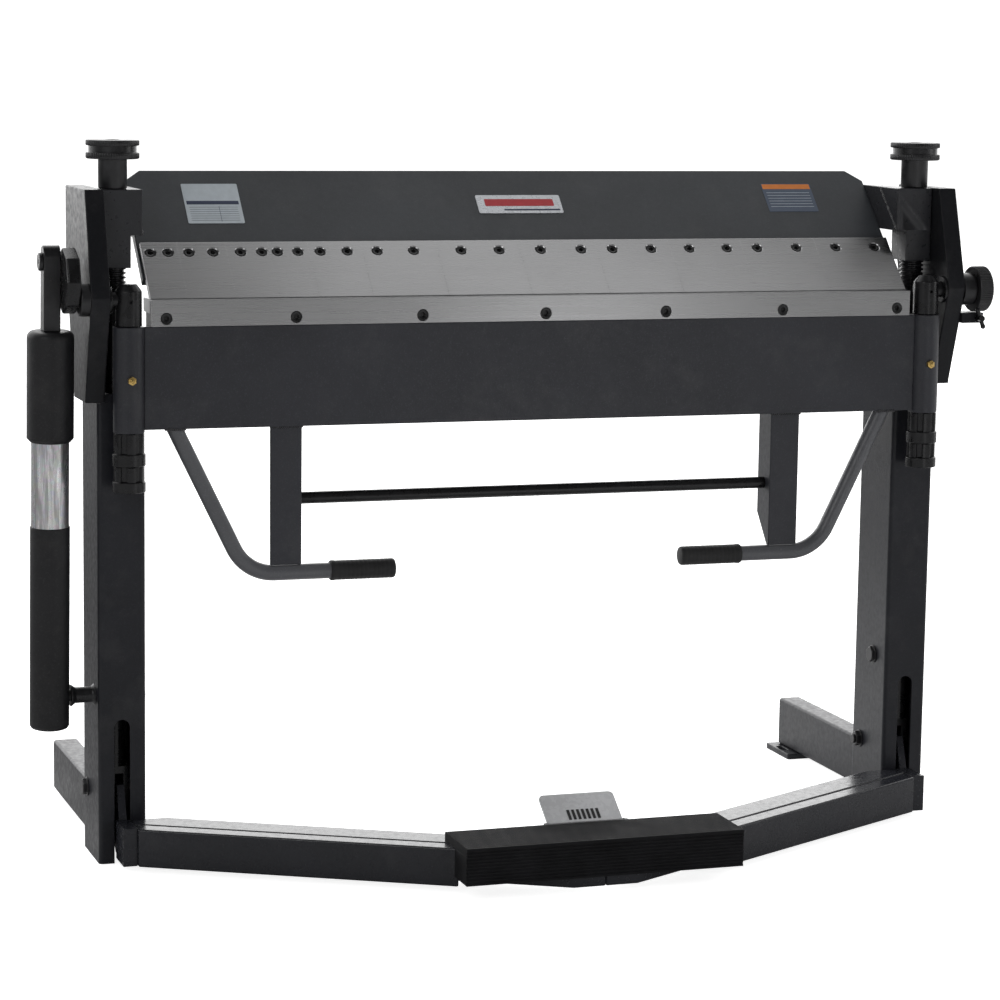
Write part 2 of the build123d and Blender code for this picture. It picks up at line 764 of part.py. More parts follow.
with BuildPart() as lock_screw:
    with BuildSketch(xz(10)):
        with Locations((lock_x, lock_z)):
            Circle(5)
    extrude(amount=31)
    tee = Plane(origin=(lock_x, -14, lock_z), x_dir=(0, 1, 0), z_dir=(-0.4, 0, 1))
    with BuildSketch(tee.offset(-14.5)):
        Circle(3.5)
    extrude(amount=29)
    with Locations(tee.offset(-14.5).origin, tee.offset(14.5).origin):
        Sphere(4.2)
save(lock_screw, "lock_screw")

# ---------------------------------------------------------------------------
# Foot pedal
# ---------------------------------------------------------------------------
ped_z0, ped_z1 = 10.0, 70.0
f0, fk = -384.0, 0.547           # front line of the arms: y = f0 + fk*|x|
w_front, w_gap, w_all = 34.0, 3.4, 97.0


def fl(x, off=0.0):
    return f0 + fk * x + off


for side, s in sides:
    with BuildPart() as arm_bar:
        # front bar, ends inside the tread cover
        with BuildSketch(Plane.XY.offset(ped_z0)):
            with BuildLine():
                Polyline((s * 219, fl(219)), (s * 662, fl(662)), (s * 662, fl(662, w_front)),
                         (s * 219, fl(219, w_front)), close=True)
            make_face()
        extrude(amount=ped_z1 - ped_z0)
        with BuildSketch(Plane.XY.offset(ped_z0 + 4)):
            with BuildLine():
                Polyline((s * 200, fl(200, 5)), (s * 657, fl(657, 5)),
                         (s * 657, fl(657, w_front - 5)), (s * 200, fl(200, w_front - 5)),
                         close=True)
            make_face()
        extrude(amount=ped_z1 - ped_z0 - 8, mode=Mode.SUBTRACT)
        # rear bar, runs to the middle where both arms meet
        a0 = w_front + w_gap
        xa = (-318.0 - f0 - a0) / fk         # where the blunt tip starts
        xb = (43.0 - f0 - w_all) / fk        # where the rear edge is cut square
        with BuildSketch(Plane.XY.offset(ped_z0)):
            with BuildLine():
                Polyline((s * 0.2, -318), (s * xa, -318), (s * 662, fl(662, a0)), (s * 662, 43),
                         (s * xb, 43), (s * 0.2, fl(0.2, w_all)), close=True)
            make_face()
        extrude(amount=ped_z1 - ped_z0)
        with BuildSketch(Plane.XY.offset(ped_z0 + 4)):
            with BuildLine():
                Polyline((s * -5, -313), (s * (xa + 2), -313), (s * 657, fl(657, a0 + 5)),
                         (s * 657, 38), (s * (xb - 4), 38), (s * -5, fl(0, w_all - 5)), close=True)
            make_face()
        extrude(amount=ped_z1 - ped_z0 - 8, mode=Mode.SUBTRACT)
    save(arm_bar, "pedal_arm_" + side)

with BuildPart() as pedal_levers:
    for s in (-1, 1):
        with BuildSketch(yz(s * lever_x - 6)):
            with BuildLine():
                Polyline((43, 12), (72, 12), (138, 82), (150, 86), (150, 120), (138, 122),
                         (62, 122), (43, 68), close=True)
            make_face()
            with Locations((pivot_y, pivot_z)):
                Circle(22)
                Circle(pivot_r + run, mode=Mode.SUBTRACT)
            with Locations((81, pivot_z)):
                SlotOverall(38, 20, mode=Mode.SUBTRACT)
        extrude(amount=12)
        # broad head in front of the leg, where the two bars end
        with BuildSketch(Plane.XY.offset(ped_z0)):
            with Locations((s * lever_x, 14.5)):
                Rectangle(22, 57)
        extrude(amount=ped_z1 - ped_z0)
save(pedal_levers, "pedal_levers")

rel_y, rel_z = -204.5, 78.0
cov_x, cov_y0, cov_y1, cov_z0, cov_z1 = 225.0, -321.0, -210.0, 26.0, 84.0
with BuildPart() as tread_cover:
    with BuildSketch(yz(-cov_x)):
        with BuildLine():
            Polyline((cov_y0, cov_z0), (cov_y0 + 3, cov_z0), (cov_y0 + 3, ped_z1),
                     (cov_y1, ped_z1), (cov_y1, cov_z1), (cov_y0, cov_z1), close=True)
        make_face()
    extrude(amount=2 * cov_x)
    # front end walls, in front of the arms
    for s in (-1, 1):
        with BuildSketch(Plane.XY.offset(cov_z0)):
            with BuildLine():
                Polyline((s * cov_x, cov_y0), (s * cov_x, fl(cov_x) - 0.2),
                         (s * (cov_x - 4), fl(cov_x - 4) - 0.2), (s * (cov_x - 4), cov_y0),
                         close=True)
            make_face()
        extrude(amount=ped_z1 - cov_z0)
    # lugs and pin of the release plate
    for x0, x1 in ((-61, -55), (70, 76)):
        with BuildSketch(yz(x0)):
            with Locations((-206, 77.5)):
                Rectangle(14, 13)
        extrude(amount=x1 - x0)
    with BuildSketch(yz(-61)):
        with Locations((rel_y, rel_z)):
            Circle(2.5)
    extrude(amount=137)
save(tread_cover, "tread_cover")

with BuildPart() as release_plate:
    with BuildSketch(Plane(origin=(7.5, rel_y, rel_z), x_dir=(1, 0, 0), z_dir=(0, -0.562, 0.827))):
        with Locations((0, 34)):
            RectangleRounded(124, 60, 8)
    extrude(amount=3, both=True)
    with BuildSketch(yz(-54.5)):
        with Locations((rel_y, rel_z)):
            Circle(5)
    extrude(amount=124)
    with BuildSketch(yz(-54.5)):
        with Locations((rel_y, rel_z)):
            Circle(2.5 + run)
    extrude(amount=124, mode=Mode.SUBTRACT)
save(release_plate, "release_plate")
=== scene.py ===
import bpy, bmesh, math, random
from mathutils import Vector, Matrix


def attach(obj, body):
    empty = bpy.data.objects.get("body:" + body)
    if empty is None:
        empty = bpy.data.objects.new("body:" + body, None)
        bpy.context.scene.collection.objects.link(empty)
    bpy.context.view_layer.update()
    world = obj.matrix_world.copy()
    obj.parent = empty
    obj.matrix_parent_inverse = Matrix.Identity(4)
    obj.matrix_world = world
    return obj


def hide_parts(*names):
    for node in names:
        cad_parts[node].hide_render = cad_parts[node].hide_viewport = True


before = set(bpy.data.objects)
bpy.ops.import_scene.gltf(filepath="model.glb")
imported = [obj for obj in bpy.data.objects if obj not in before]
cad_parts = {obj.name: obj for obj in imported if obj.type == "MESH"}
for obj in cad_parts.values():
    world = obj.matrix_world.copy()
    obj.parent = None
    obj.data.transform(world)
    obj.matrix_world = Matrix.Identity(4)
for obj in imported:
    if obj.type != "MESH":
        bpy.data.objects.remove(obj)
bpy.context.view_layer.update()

DX, DY = 18.5, -105.0
MM = 0.001
rnd = random.Random(7)


def V(x, y, z):
    return Vector(((x + DX) * MM, (y + DY) * MM, z * MM))


bpy.context.scene.view_settings.view_transform = "Standard"
bpy.context.scene.view_settings.look = "None"

# ---------------------------------------------------------------- camera
fw = Vector((0.31646094, 0.93740067, -0.14537006))
rt = Vector((0.9480329, -0.31785815, 0.01413589))
up = Vector((0.03295607, 0.14228906, 0.98927636))
cam_data = bpy.data.cameras.new("camera")
cam = bpy.data.objects.new("camera", cam_data)
bpy.context.scene.collection.objects.link(cam)
cam_data.sensor_width = 36.0
cam_data.lens = 112.136
cam_data.clip_end = 60
m = Matrix.Identity(4)
for i, v in enumerate((rt, up, -fw)):
    for k in range(3):
        m[k][i] = v[k]
m.translation = V(-1639.578, -4641.554, 1282.27)
cam.matrix_world = m
bpy.context.scene.camera = cam

# ---------------------------------------------------------------- node helpers


def new_mat(name):
    mat = bpy.data.materials.new(name)
    mat.use_nodes = True
    nt = mat.node_tree
    nt.nodes.clear()
    out = nt.nodes.new("ShaderNodeOutputMaterial")
    bs = nt.nodes.new("ShaderNodeBsdfPrincipled")
    nt.links.new(bs.outputs[0], out.inputs[0])
    return mat, nt, bs


def coords(nt, scale=(1, 1, 1)):
    tc = nt.nodes.new("ShaderNodeTexCoord")
    mp = nt.nodes.new("ShaderNodeMapping")
    mp.inputs["Scale"].default_value = scale
    nt.links.new(tc.outputs["Object"], mp.inputs["Vector"])
    return mp.outputs["Vector"]


def noise(nt, vec, scale, detail=4.0, rough=0.55, dist=0.0):
    n = nt.nodes.new("ShaderNodeTexNoise")
    n.inputs["Scale"].default_value = scale
    n.inputs["Detail"].default_value = detail
    n.inputs["Roughness"].default_value = rough
    n.inputs["Distortion"].default_value = dist
    nt.links.new(vec, n.inputs["Vector"])
    return n.outputs["Fac"]


def ramp(nt, fac, stops):
    r = nt.nodes.new("ShaderNodeValToRGB")
    els = r.color_ramp.elements
    while len(els) < len(stops):
        els.new(0.5)
    for e, (p, c) in zip(els, stops):
        e.position = p
        e.color = (c[0], c[1], c[2], 1) if isinstance(c, (tuple, list)) else (c, c, c, 1)
    nt.links.new(fac, r.inputs[0])
    return r.outputs[0]


def maprange(nt, fac, a, b, c, d):
    r = nt.nodes.new("ShaderNodeMapRange")
    for k, v in zip(("From Min", "From Max", "To Min", "To Max"), (a, b, c, d)):
        r.inputs[k].default_value = v
    nt.links.new(fac, r.inputs["Value"])
    return r.outputs[0]


def math_node(nt, op, a, b=None, clamp=False):
    n = nt.nodes.new("ShaderNodeMath")
    n.operation = op
    n.use_clamp = clamp
    for i, v in enumerate((a, b)):
        if v is None:
            continue
        if isinstance(v, (int, float)):
            n.inputs[i].default_value = v
        else:
            nt.links.new(v, n.inputs[i])
    return n.outputs[0]


def mix_col(nt, fac, a, b, mode="MIX"):
    n = nt.nodes.new("ShaderNodeMix")
    n.data_type = "RGBA"
    n.blend_type = mode
    if isinstance(fac, (int, float)):
        n.inputs[0].default_value = fac
    else:
        nt.links.new(fac, n.inputs[0])
    for i, v in ((6, a), (7, b)):
        if isinstance(v, (tuple, list)):
            n.inputs[i].default_value = (v[0], v[1], v[2], 1)
        else:
            nt.links.new(v, n.inputs[i])
    return n.outputs[2]


def edge_mask(nt, radius=0.0016, lo=0.02, hi=0.25):
    bv = nt.nodes.new("ShaderNodeBevel")
    bv.samples = 4
    bv.inputs["Radius"].default_value = radius
    ge = nt.nodes.new("ShaderNodeNewGeometry")
    dp = nt.nodes.new("ShaderNodeVectorMath")
    dp.operation = "DOT_PRODUCT"
    nt.links.new(bv.outputs[0], dp.inputs[0])
    nt.links.new(ge.outputs["Normal"], dp.inputs[1])
    inv = math_node(nt, "SUBTRACT", 1.0, dp.outputs["Value"])
    return bv.outputs[0], maprange(nt, inv, lo, hi, 0.0, 1.0)


def bump(nt, bs, height, strength, distance, normal=None):
    b = nt.nodes.new("ShaderNodeBump")
    b.inputs["Strength"].default_value = strength
    b.inputs["Distance"].default_value = distance
    nt.links.new(height, b.inputs["Height"])
    if normal is not None:
        nt.links.new(normal, b.inputs["Normal"])
    nt.links.new(b.outputs[0], bs.inputs["Normal"])
    return b


def paint(name, base, rough=0.36, fleck=0.35, bumpy=0.35, wear=0.35, scale=420.0, spec=0.5):
    """hammered structure paint: fine flecked relief, small tone changes, rubbed edges"""
    mat, nt, bs = new_mat(name)
    vec = coords(nt)
    big = noise(nt, vec, 5.0, 3.0)
    fine = noise(nt, vec, scale, 3.0, 0.6)
    mid = noise(nt, vec, scale * 0.28, 2.0, 0.5)
    nrm, edge = edge_mask(nt)
    lo = tuple(c * 0.82 for c in base)
    hi = tuple(min(1, c * 1.2) for c in base)
    col = ramp(nt, big, [(0.3, lo), (0.7, hi)])
    flk = ramp(nt, fine, [(0.55, 0.0), (0.75, 1.0)])
    fl = math_node(nt, "MULTIPLY", flk, fleck)
    col = mix_col(nt, fl, col, tuple(min(1, c * 2.4 + 0.01) for c in base))
    dust = ramp(nt, noise(nt, vec, 14.0, 6.0, 0.65), [(0.52, 0.0), (0.8, 1.0)])
    col = mix_col(nt, math_node(nt, "MULTIPLY", dust, 0.10), col, (0.16, 0.155, 0.15))
    wn = ramp(nt, noise(nt, vec, 60.0, 4.0, 0.7), [(0.42, 0.0), (0.62, 1.0)])
    wm = math_node(nt, "MULTIPLY", math_node(nt, "MULTIPLY", edge, wn), wear)
    col = mix_col(nt, wm, col, (0.17, 0.17, 0.175))
    nt.links.new(col, bs.inputs["Base Color"])
    r = maprange(nt, mid, 0.3, 0.7, rough - 0.06, rough + 0.08)
    nt.links.new(r, bs.inputs["Roughness"])
    bs.inputs["Specular IOR Level"].default_value = spec
    h = math_node(nt, "ADD", math_node(nt, "MULTIPLY", fine, 0.6), math_node(nt, "MULTIPLY", mid, 0.7))
    bump(nt, bs, h, bumpy, 0.0006, nrm)
    return mat


def ground(name, base, rough=0.3, along="x", metallic=1.0, line=0.018, painted_edge_highlight=0.5):
    """surface-ground steel: fine grinding lines, faint oil staining"""
    mat, nt, bs = new_mat(name)
    sc = {"x": (4, 900, 900), "z": (700, 700, 5), "r": (500, 500, 500)}[along]
    lines = noise(nt, coords(nt, sc), 1.0, 3.0, 0.6)
    vec = coords(nt)
    big = noise(nt, vec, 3.0, 3.0)
    stain = ramp(nt, noise(nt, vec, 26.0, 5.0, 0.7), [(0.55, 0.0), (0.8, 1.0)])
    nrm, edge = edge_mask(nt, 0.0009, 0.01, 0.2)
    col = ramp(nt, big, [(0.3, tuple(c * 0.93 for c in base)), (0.7, tuple(min(1, c * 1.06) for c in base))])
    lc = ramp(nt, lines, [(0.3, 0.945), (0.7, 1.0)])
    col = mix_col(nt, 1.0, col, lc, "MULTIPLY")
    col = mix_col(nt, math_node(nt, "MULTIPLY", stain, 0.14), col, tuple(c * 0.55 for c in base))
    # painted highlight: every edge of the ground steel is brightened towards 1.5 times the base colour
    col = mix_col(nt, math_node(nt, "MULTIPLY", edge, painted_edge_highlight), col, tuple(min(1, c * 1.5) for c in base))
    nt.links.new(col, bs.inputs["Base Color"])
    nt.links.new(maprange(nt, lines, 0.3, 0.7, rough - 0.02, rough + 0.03), bs.inputs["Roughness"])
    bs.inputs["Metallic"].default_value = metallic
    bump(nt, bs, lines, line, 0.0003, nrm)
    return mat


def oxide(name, base=(0.018, 0.018, 0.0195), rough=0.33, wear=0.5):
    """oiled black oxide on turned steel"""
    mat, nt, bs = new_mat(name)
    vec = coords(nt)
    n1 = noise(nt, vec, 40.0, 5.0, 0.6)
    n2 = noise(nt, vec, 900.0, 2.0, 0.5)
    nrm, edge = edge_mask(nt, 0.001, 0.02, 0.25)
    col = ramp(nt, n1, [(0.3, tuple(c * 0.7 for c in base)), (0.75, tuple(c * 1.7 for c in base))])
    wn = ramp(nt, noise(nt, vec, 120.0, 4.0, 0.7), [(0.40, 0.0), (0.65, 1.0)])
    col = mix_col(nt, math_node(nt, "MULTIPLY", math_node(nt, "MULTIPLY", edge, wn), wear), col, (0.16, 0.155, 0.15))
    nt.links.new(col, bs.inputs["Base Color"])
    bs.inputs["Metallic"].default_value = 0.35
    nt.links.new(maprange(nt, n1, 0.3, 0.7, rough - 0.07, rough + 0.1), bs.inputs["Roughness"])
    bump(nt, bs, n2, 0.12, 0.0003, nrm)
    return mat


def zinc(name, base=(0.47, 0.475, 0.485), rough=0.26, streaks=0.5):
    """galvanised tube: bright metal with dark drawn streaks and spangle"""
    mat, nt, bs = new_mat(name)
    st = noise(nt, coords(nt, (160, 160, 9)), 1.0, 5.0, 0.65, 0.6)
    vec = coords(nt)
    sp = nt.nodes.new("ShaderNodeTexVoronoi")
    sp.inputs["Scale"].default_value = 140.0
    nt.links.new(vec, sp.inputs["Vector"])
    nrm, edge = edge_mask(nt, 0.0008, 0.02, 0.25)
    dark = ramp(nt, st, [(0.42, 1.0), (0.60, 0.0)])
    col = mix_col(nt, math_node(nt, "MULTIPLY", dark, streaks), base, (0.10, 0.10, 0.105))
    col = mix_col(nt, 0.12, col, sp.outputs["Color"], "MULTIPLY")
    nt.links.new(col, bs.inputs["Base Color"])
    bs.inputs["Metallic"].default_value = 0.9
    nt.links.new(maprange(nt, st, 0.3, 0.7, rough + 0.18, rough - 0.05), bs.inputs["Roughness"])
    bump(nt, bs, st, 0.1, 0.0004, nrm)
    return mat


def rubber(name, base=(0.013, 0.013, 0.0135), rough=0.62, scale=700.0, strength=0.35, spec=0.4):
    mat, nt, bs = new_mat(name)
    bs.inputs["Specular IOR Level"].default_value = spec
    vec = coords(nt)
    n1 = noise(nt, vec, scale, 3.0, 0.6)
    n2 = noise(nt, vec, 25.0, 4.0, 0.6)
    nt.links.new(ramp(nt, n2, [(0.3, tuple(c * 0.75 for c in base)), (0.75, tuple(c * 1.8 for c in base))]), bs.inputs["Base Color"])
    nt.links.new(maprange(nt, n2, 0.3, 0.7, rough - 0.08, rough + 0.08), bs.inputs["Roughness"])
    bump(nt, bs, n1, strength, 0.0004)
    return mat


def brass(name):
    mat, nt, bs = new_mat(name)
    vec = coords(nt)
    n1 = noise(nt, vec, 300.0, 3.0)
    nt.links.new(ramp(nt, n1, [(0.3, (0.50, 0.33, 0.10)), (0.7, (0.78, 0.55, 0.20))]), bs.inputs["Base Color"])
    bs.inputs["Metallic"].default_value = 1.0
    nt.links.new(maprange(nt, n1, 0.3, 0.7, 0.22, 0.36), bs.inputs["Roughness"])
    return mat


def film(name, base, rough=0.32, metallic=0.0, var=0.06):
    mat, nt, bs = new_mat(name)
    n1 = noise(nt, coords(nt, (1, 1, 1)), 90.0, 4.0)
    nt.links.new(ramp(nt, n1, [(0.3, tuple(c * (1 - var) for c in base)), (0.7, tuple(min(1, c * (1 + var)) for c in base))]),
                 bs.inputs["Base Color"])
    bs.inputs["Metallic"].default_value = metallic
    nt.links.new(maprange(nt, n1, 0.3, 0.7, rough - 0.04, rough + 0.05), bs.inputs["Roughness"])
    return mat


M = {}
M["leaf"] = paint("paint_leaf", (0.0225, 0.0235, 0.0295), 0.40, 0.40, 0.45, spec=0.42)
# painted reflection: the glossy dark release plate gets a light grey base (0.58) that stands in for the bright
# reflection on it
M["release"] = paint("paint_release_painted_reflection", (0.58, 0.585, 0.60), 0.26, 0.1, 0.2)
# painted highlight: the handle paint is about four times lighter than the leaf paint, standing in for the highlight
# along the round handles
M["handle"] = paint("paint_handle_painted_highlight", (0.092, 0.094, 0.102), 0.34, 0.3, 0.3, spec=0.45)
M["beam"] = paint("paint_beam", (0.036, 0.040, 0.046), 0.42, 0.22, 0.25)
M["frame"] = paint("paint_frame", (0.0125, 0.0132, 0.0172), 0.36, 0.30, 0.3, spec=0.30)
M["cheek"] = paint("paint_cheek", (0.011, 0.0114, 0.0135), 0.36, 0.25, 0.2, spec=0.16)
M["arm"] = paint("paint_arm", (0.022, 0.0225, 0.026), 0.32, 0.3, 0.3, spec=0.45)
M["pedal"] = paint("paint_pedal", (0.0165, 0.0174, 0.0222), 0.23, 0.06, 0.05, 0.2, spec=0.38)
M["strut"] = paint("paint_strut", (0.013, 0.013, 0.0145), 0.42, 0.4, 0.5, 0.2, 300.0, 0.28)
M["sleeve"] = paint("paint_sleeve", (0.013, 0.013, 0.0145), 0.30, 0.2, 0.2, 0.3)
M["ground"] = ground("steel_ground", (0.40, 0.40, 0.405), 0.28)
M["jaw"] = ground("steel_jaw", (0.36, 0.36, 0.365), 0.32)
M["shaft"] = ground("steel_turned", (0.42, 0.42, 0.42), 0.28, "r", 1.0, 0.04)
M["oxide"] = oxide("black_oxide")
M["oxide2"] = oxide("black_oxide_nut", (0.010, 0.010, 0.011), 0.27, 0.22)
M["screw"] = oxide("black_oxide_screw", (0.014, 0.014, 0.015), 0.30, 0.9)
M["zinc"] = zinc("galvanised_tube", (0.74, 0.745, 0.76))
M["plated"] = zinc("zinc_plated", (0.50, 0.51, 0.53), 0.25, 0.12)
M["grip"] = rubber("grip_rubber")
M["tread"] = rubber("tread_rubber", (0.008, 0.008, 0.009), 0.66, 500.0, 0.25, 0.15)
M["brass"] = brass("nipple_brass")
M["plate"] = film("plate_silver", (0.50, 0.55, 0.59), 0.36, 0.2)
M["navy"] = film("plate_navy", (0.02, 0.03, 0.07), 0.4)
M["line"] = film("plate_line", (0.10, 0.12, 0.15), 0.4)
M["badge"] = film("badge_silver", (0.62, 0.64, 0.67), 0.28, 0.3)
M["red"] = film("badge_red", (0.45, 0.02, 0.03), 0.35)
M["blue"] = film("label_blue", (0.075, 0.10, 0.15), 0.4)
M["orange"] = film("label_orange", (0.75, 0.22, 0.03), 0.4)
M["weld"] = paint("paint_weld", (0.022, 0.022, 0.025), 0.32, 0.3, 0.2, 0.5, 200.0)
M["dark"] = rubber("inside_dark", (0.006, 0.006, 0.0065), 0.7, 400.0, 0.2)

# ---------------------------------------------------------------- mesh helpers


def obj_from(name, verts, faces):
    me = bpy.data.meshes.new(name)
    me.from_pydata([tuple(v) for v in verts], [], faces)
    me.validate()
    bm = bmesh.new()
    bm.from_mesh(me)
    bmesh.ops.remove_doubles(bm, verts=bm.verts, dist=1e-6)
    bmesh.ops.recalc_face_normals(bm, faces=bm.faces)
    bm.to_mesh(me)
    bm.free()
    o = bpy.data.objects.new(name, me)
    bpy.context.scene.collection.objects.link(o)
    return o


def place(kind, a, b, t):
    if kind == "yz":
        return V(t, a, b)
    if kind == "xz":
        return V(a, t, b)
    return V(a, b, t)


def prism(name, poly, kind, t0, t1):
    n = len(poly)
    vs = [place(kind, a, b, t0) for a, b in poly] + [place(kind, a, b, t1) for a, b in poly]
    fs = [list(range(n)), list(range(2 * n - 1, n - 1, -1))]
    for i in range(n):
        j = (i + 1) % n
        fs.append([i, j, n + j, n + i])
    return obj_from(name, vs, fs)


def box(name, x0, x1, y0, y1, z0, z1):
    return prism(name, [(x0, y0), (x1, y0), (x1, y1), (x0, y1)], "xy", z0, z1)


def rrect(cx, cy, w, h, r, n=5):
    pts = []
    for sx, sy, a0 in ((1, 1, 0), (-1, 1, 90), (-1, -1, 180), (1, -1, 270)):
        ox, oy = cx + sx * (w / 2 - r), cy + sy * (h / 2 - r)
        for i in range(n + 1):
            a = math.radians(a0 + 90 * i / n)
            pts.append((ox + r * math.cos(a), oy + r * math.sin(a)))
    return pts


def basis(axis):
    a = Vector(axis).normalized()
    h = Vector((0, 0, 1)) if abs(a.z) < 0.9 else Vector((0, 1, 0))
    u = a.cross(h).normalized()
    return a, u, a.cross(u).normalized()


def lathe(name, prof, origin, axis, seg=64, rfun=None):
    """prof: (r, t) points in mm; closed to the axis where r is 0"""
    a, u, w = basis(axis)
    o = V(*origin)
    vs, fs, rings = [], [], []
    for r, t in prof:
        c = o + a * (t * MM)
        if r < 1e-6:
            rings.append([len(vs)])
            vs.append(c)
        else:
            ring = []
            for k in range(seg):
                th = 2 * math.pi * k / seg
                rr = r if rfun is None else rfun(r, t, th, k)
                ring.append(len(vs))
                vs.append(c + (u * math.cos(th) + w * math.sin(th)) * (rr * MM))
            rings.append(ring)
    for A, B in zip(rings[:-1], rings[1:]):
        if len(A) == 1 and len(B) == 1:
            continue
        for k in range(seg):
            j = (k + 1) % seg
            if len(A) == 1:
                fs.append([A[0], B[k], B[j]])
            elif len(B) == 1:
                fs.append([A[k], B[0], A[j]])
            else:
                fs.append([A[k], B[k], B[j], A[j]])
    if len(rings[0]) > 1 and len(rings[-1]) > 1:
        # a tube: join last to first
        A, B = rings[-1], rings[0]
        for k in range(seg):
            j = (k + 1) % seg
            fs.append([A[k], B[k], B[j], A[j]])
    return obj_from(name, vs, fs)


def sweep(name, pts, r, seg=32, caps=True):
    P = [V(*p) for p in pts]
    vs, fs, rings = [], [], []
    ref = Vector((0, 1, 0))
    for i, p in enumerate(P):
        t = (P[min(i + 1, len(P) - 1)] - P[max(i - 1, 0)]).normalized()
        u = t.cross(ref).normalized()
        w = t.cross(u).normalized()
        ring = []
        for k in range(seg):
            th = 2 * math.pi * k / seg
            ring.append(len(vs))
            vs.append(p + (u * math.cos(th) + w * math.sin(th)) * (r * MM))
        rings.append(ring)
    for A, B in zip(rings[:-1], rings[1:]):
        for k in range(seg):
            j = (k + 1) % seg
            fs.append([A[k], B[k], B[j], A[j]])
    if caps:
        fs.append(rings[0][::-1])
        fs.append(rings[-1])
    return obj_from(name, vs, fs)


def fillet_path(a, b, c, r, n=14):
    """round the corner b of the path a-b-c with radius r (all in one plane)"""
    A, B, C = Vector(a), Vector(b), Vector(c)
    d1, d2 = (A - B).normalized(), (C - B).normalized()
    ang = d1.angle(d2)
    L = r / math.tan(ang / 2)
    s, e = B + d1 * L, B + d2 * L
    cen = B + (d1 + d2).normalized() * (r / math.sin(ang / 2))
    v0, v1 = s - cen, e - cen
    tot = v0.angle(v1)
    axis = v0.cross(v1).normalized()
    pts = [A]
    for i in range(n + 1):
        pts.append(cen + Matrix.Rotation(tot * i / n, 3, axis) @ v0)
    pts.append(C)
    return [tuple(p) for p in pts]


def join(name, objs):
    bm = bmesh.new()
    for o in objs:
        bm.from_mesh(o.data)
        bpy.data.objects.remove(o, do_unlink=True)
    me = bpy.data.meshes.new(name)
    bm.to_mesh(me)
    bm.free()
    o = bpy.data.objects.new(name, me)
    bpy.context.scene.collection.objects.link(o)
    return o


def boolean(o, cutter, op="DIFFERENCE"):
    md = o.modifiers.new("b", "BOOLEAN")
    md.operation = op
    md.solver = "EXACT"
    md.object = cutter
    bpy.context.view_layer.update()
    dg = bpy.context.evaluated_depsgraph_get()
    me = bpy.data.meshes.new_from_object(o.evaluated_get(dg))
    o.modifiers.clear()
    o.data = me
    bpy.data.objects.remove(cutter, do_unlink=True)
    return o


def cyl(name, origin, axis, r, t0, t1, seg=32):
    return lathe(name, [(0, t0), (r, t0), (r, t1), (0, t1)], origin, axis, seg)


def done(o, mat, body, nodes=(), bevel=1.0, seg=2, angle=30, smooth=True):
    o.data.materials.clear()
    o.data.materials.append(M[mat])
    for p in o.data.polygons:
        p.use_smooth = smooth
    if smooth:
        bm = bmesh.new()
        bm.from_mesh(o.data)
        lim = math.radians(angle)
        for e in bm.edges:
            if len(e.link_faces) == 2 and e.calc_face_angle(0) > lim:
                e.smooth = bevel > 0
            if len(e.link_faces) == 2 and bevel <= 0 and e.calc_face_angle(0) > lim:
                e.smooth = False
        bm.to_mesh(o.data)
        bm.free()
    if bevel > 0:
        md = o.modifiers.new("bevel", "BEVEL")
        md.width = bevel * MM
        md.segments = seg
        md.limit_method = "ANGLE"
        md.angle_limit = math.radians(angle)
        md.harden_normals = True
        wn = o.modifiers.new("wn", "WEIGHTED_NORMAL")
        wn.keep_sharp = True
    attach(o, body)
    if nodes:
        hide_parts(*nodes)
    return o


def weld(name, a, b, r, body, mat="weld", pitch=3.2):
    """a row of overlapping weld ripples from a to b"""
    A, B = V(*a), V(*b)
    L = (B - A).length
    n = max(3, int(L / (pitch * MM)))
    d = (B - A).normalized()
    bm = bmesh.new()
    for i in range(n + 1):
        c = A + d * (L * i / n)
        s = r * rnd.uniform(0.85, 1.15)
        mm = Matrix.Translation(c + Vector([rnd.uniform(-.3, .3) * MM for _ in range(3)]))
        sc = Matrix.Diagonal((s * MM, s * MM, s * MM, 1))
        rot = d.to_track_quat("Z", "Y").to_matrix().to_4x4() @ Matrix.Diagonal((1, 1, 0.75, 1))
        bmesh.ops.create_uvsphere(bm, u_segments=12, v_segments=8, radius=1.0, matrix=mm @ rot @ sc)
    me = bpy.data.meshes.new(name)
    bm.to_mesh(me)
    bm.free()
    o = bpy.data.objects.new(name, me)
    bpy.context.scene.collection.objects.link(o)
    return done(o, mat, body, bevel=0)


def socket_heads(name, centres, normal, R, hexr, depth, height=3.2, inset=0.6):
    """flush socket screw heads: rounded rim, hexagon socket"""
    a, u, w = basis(normal)
    N = 48
    vs, fs = [], []
    for c in centres:
        o = V(*c)
        base = len(vs)

        def ring(r, t, hexa=False):
            st = len(vs)
            for k in range(N):
                th = 2 * math.pi * k / N
                rr = r
                if hexa:
                    ph = (th + math.pi / 6) % (math.pi / 3) - math.pi / 6
                    rr = r * math.cos(math.pi / 6) / math.cos(ph)
                vs.append(o + a * (t * MM) + (u * math.cos(th) + w * math.sin(th)) * (rr * MM))
            return st
        rings = [ring(R, -height), ring(R, -inset), ring(R - inset, 0), ring(hexr + 1.1, 0), ring(hexr + 0.5, -0.5, True),
                 ring(hexr, -1.0, True), ring(hexr, -depth, True)]
        for A, B in zip(rings[:-1], rings[1:]):
            for k in range(N):
                j = (k + 1) % N
                fs.append([A + k, A + j, B + j, B + k])
        fs.append([rings[-1] + k for k in range(N)])
        fs.append([rings[0] + k for k in range(N)][::-1])
    return obj_from(name, vs, fs)


SIDES = (("left", -1), ("right", 1))
s2 = math.sqrt(0.5)

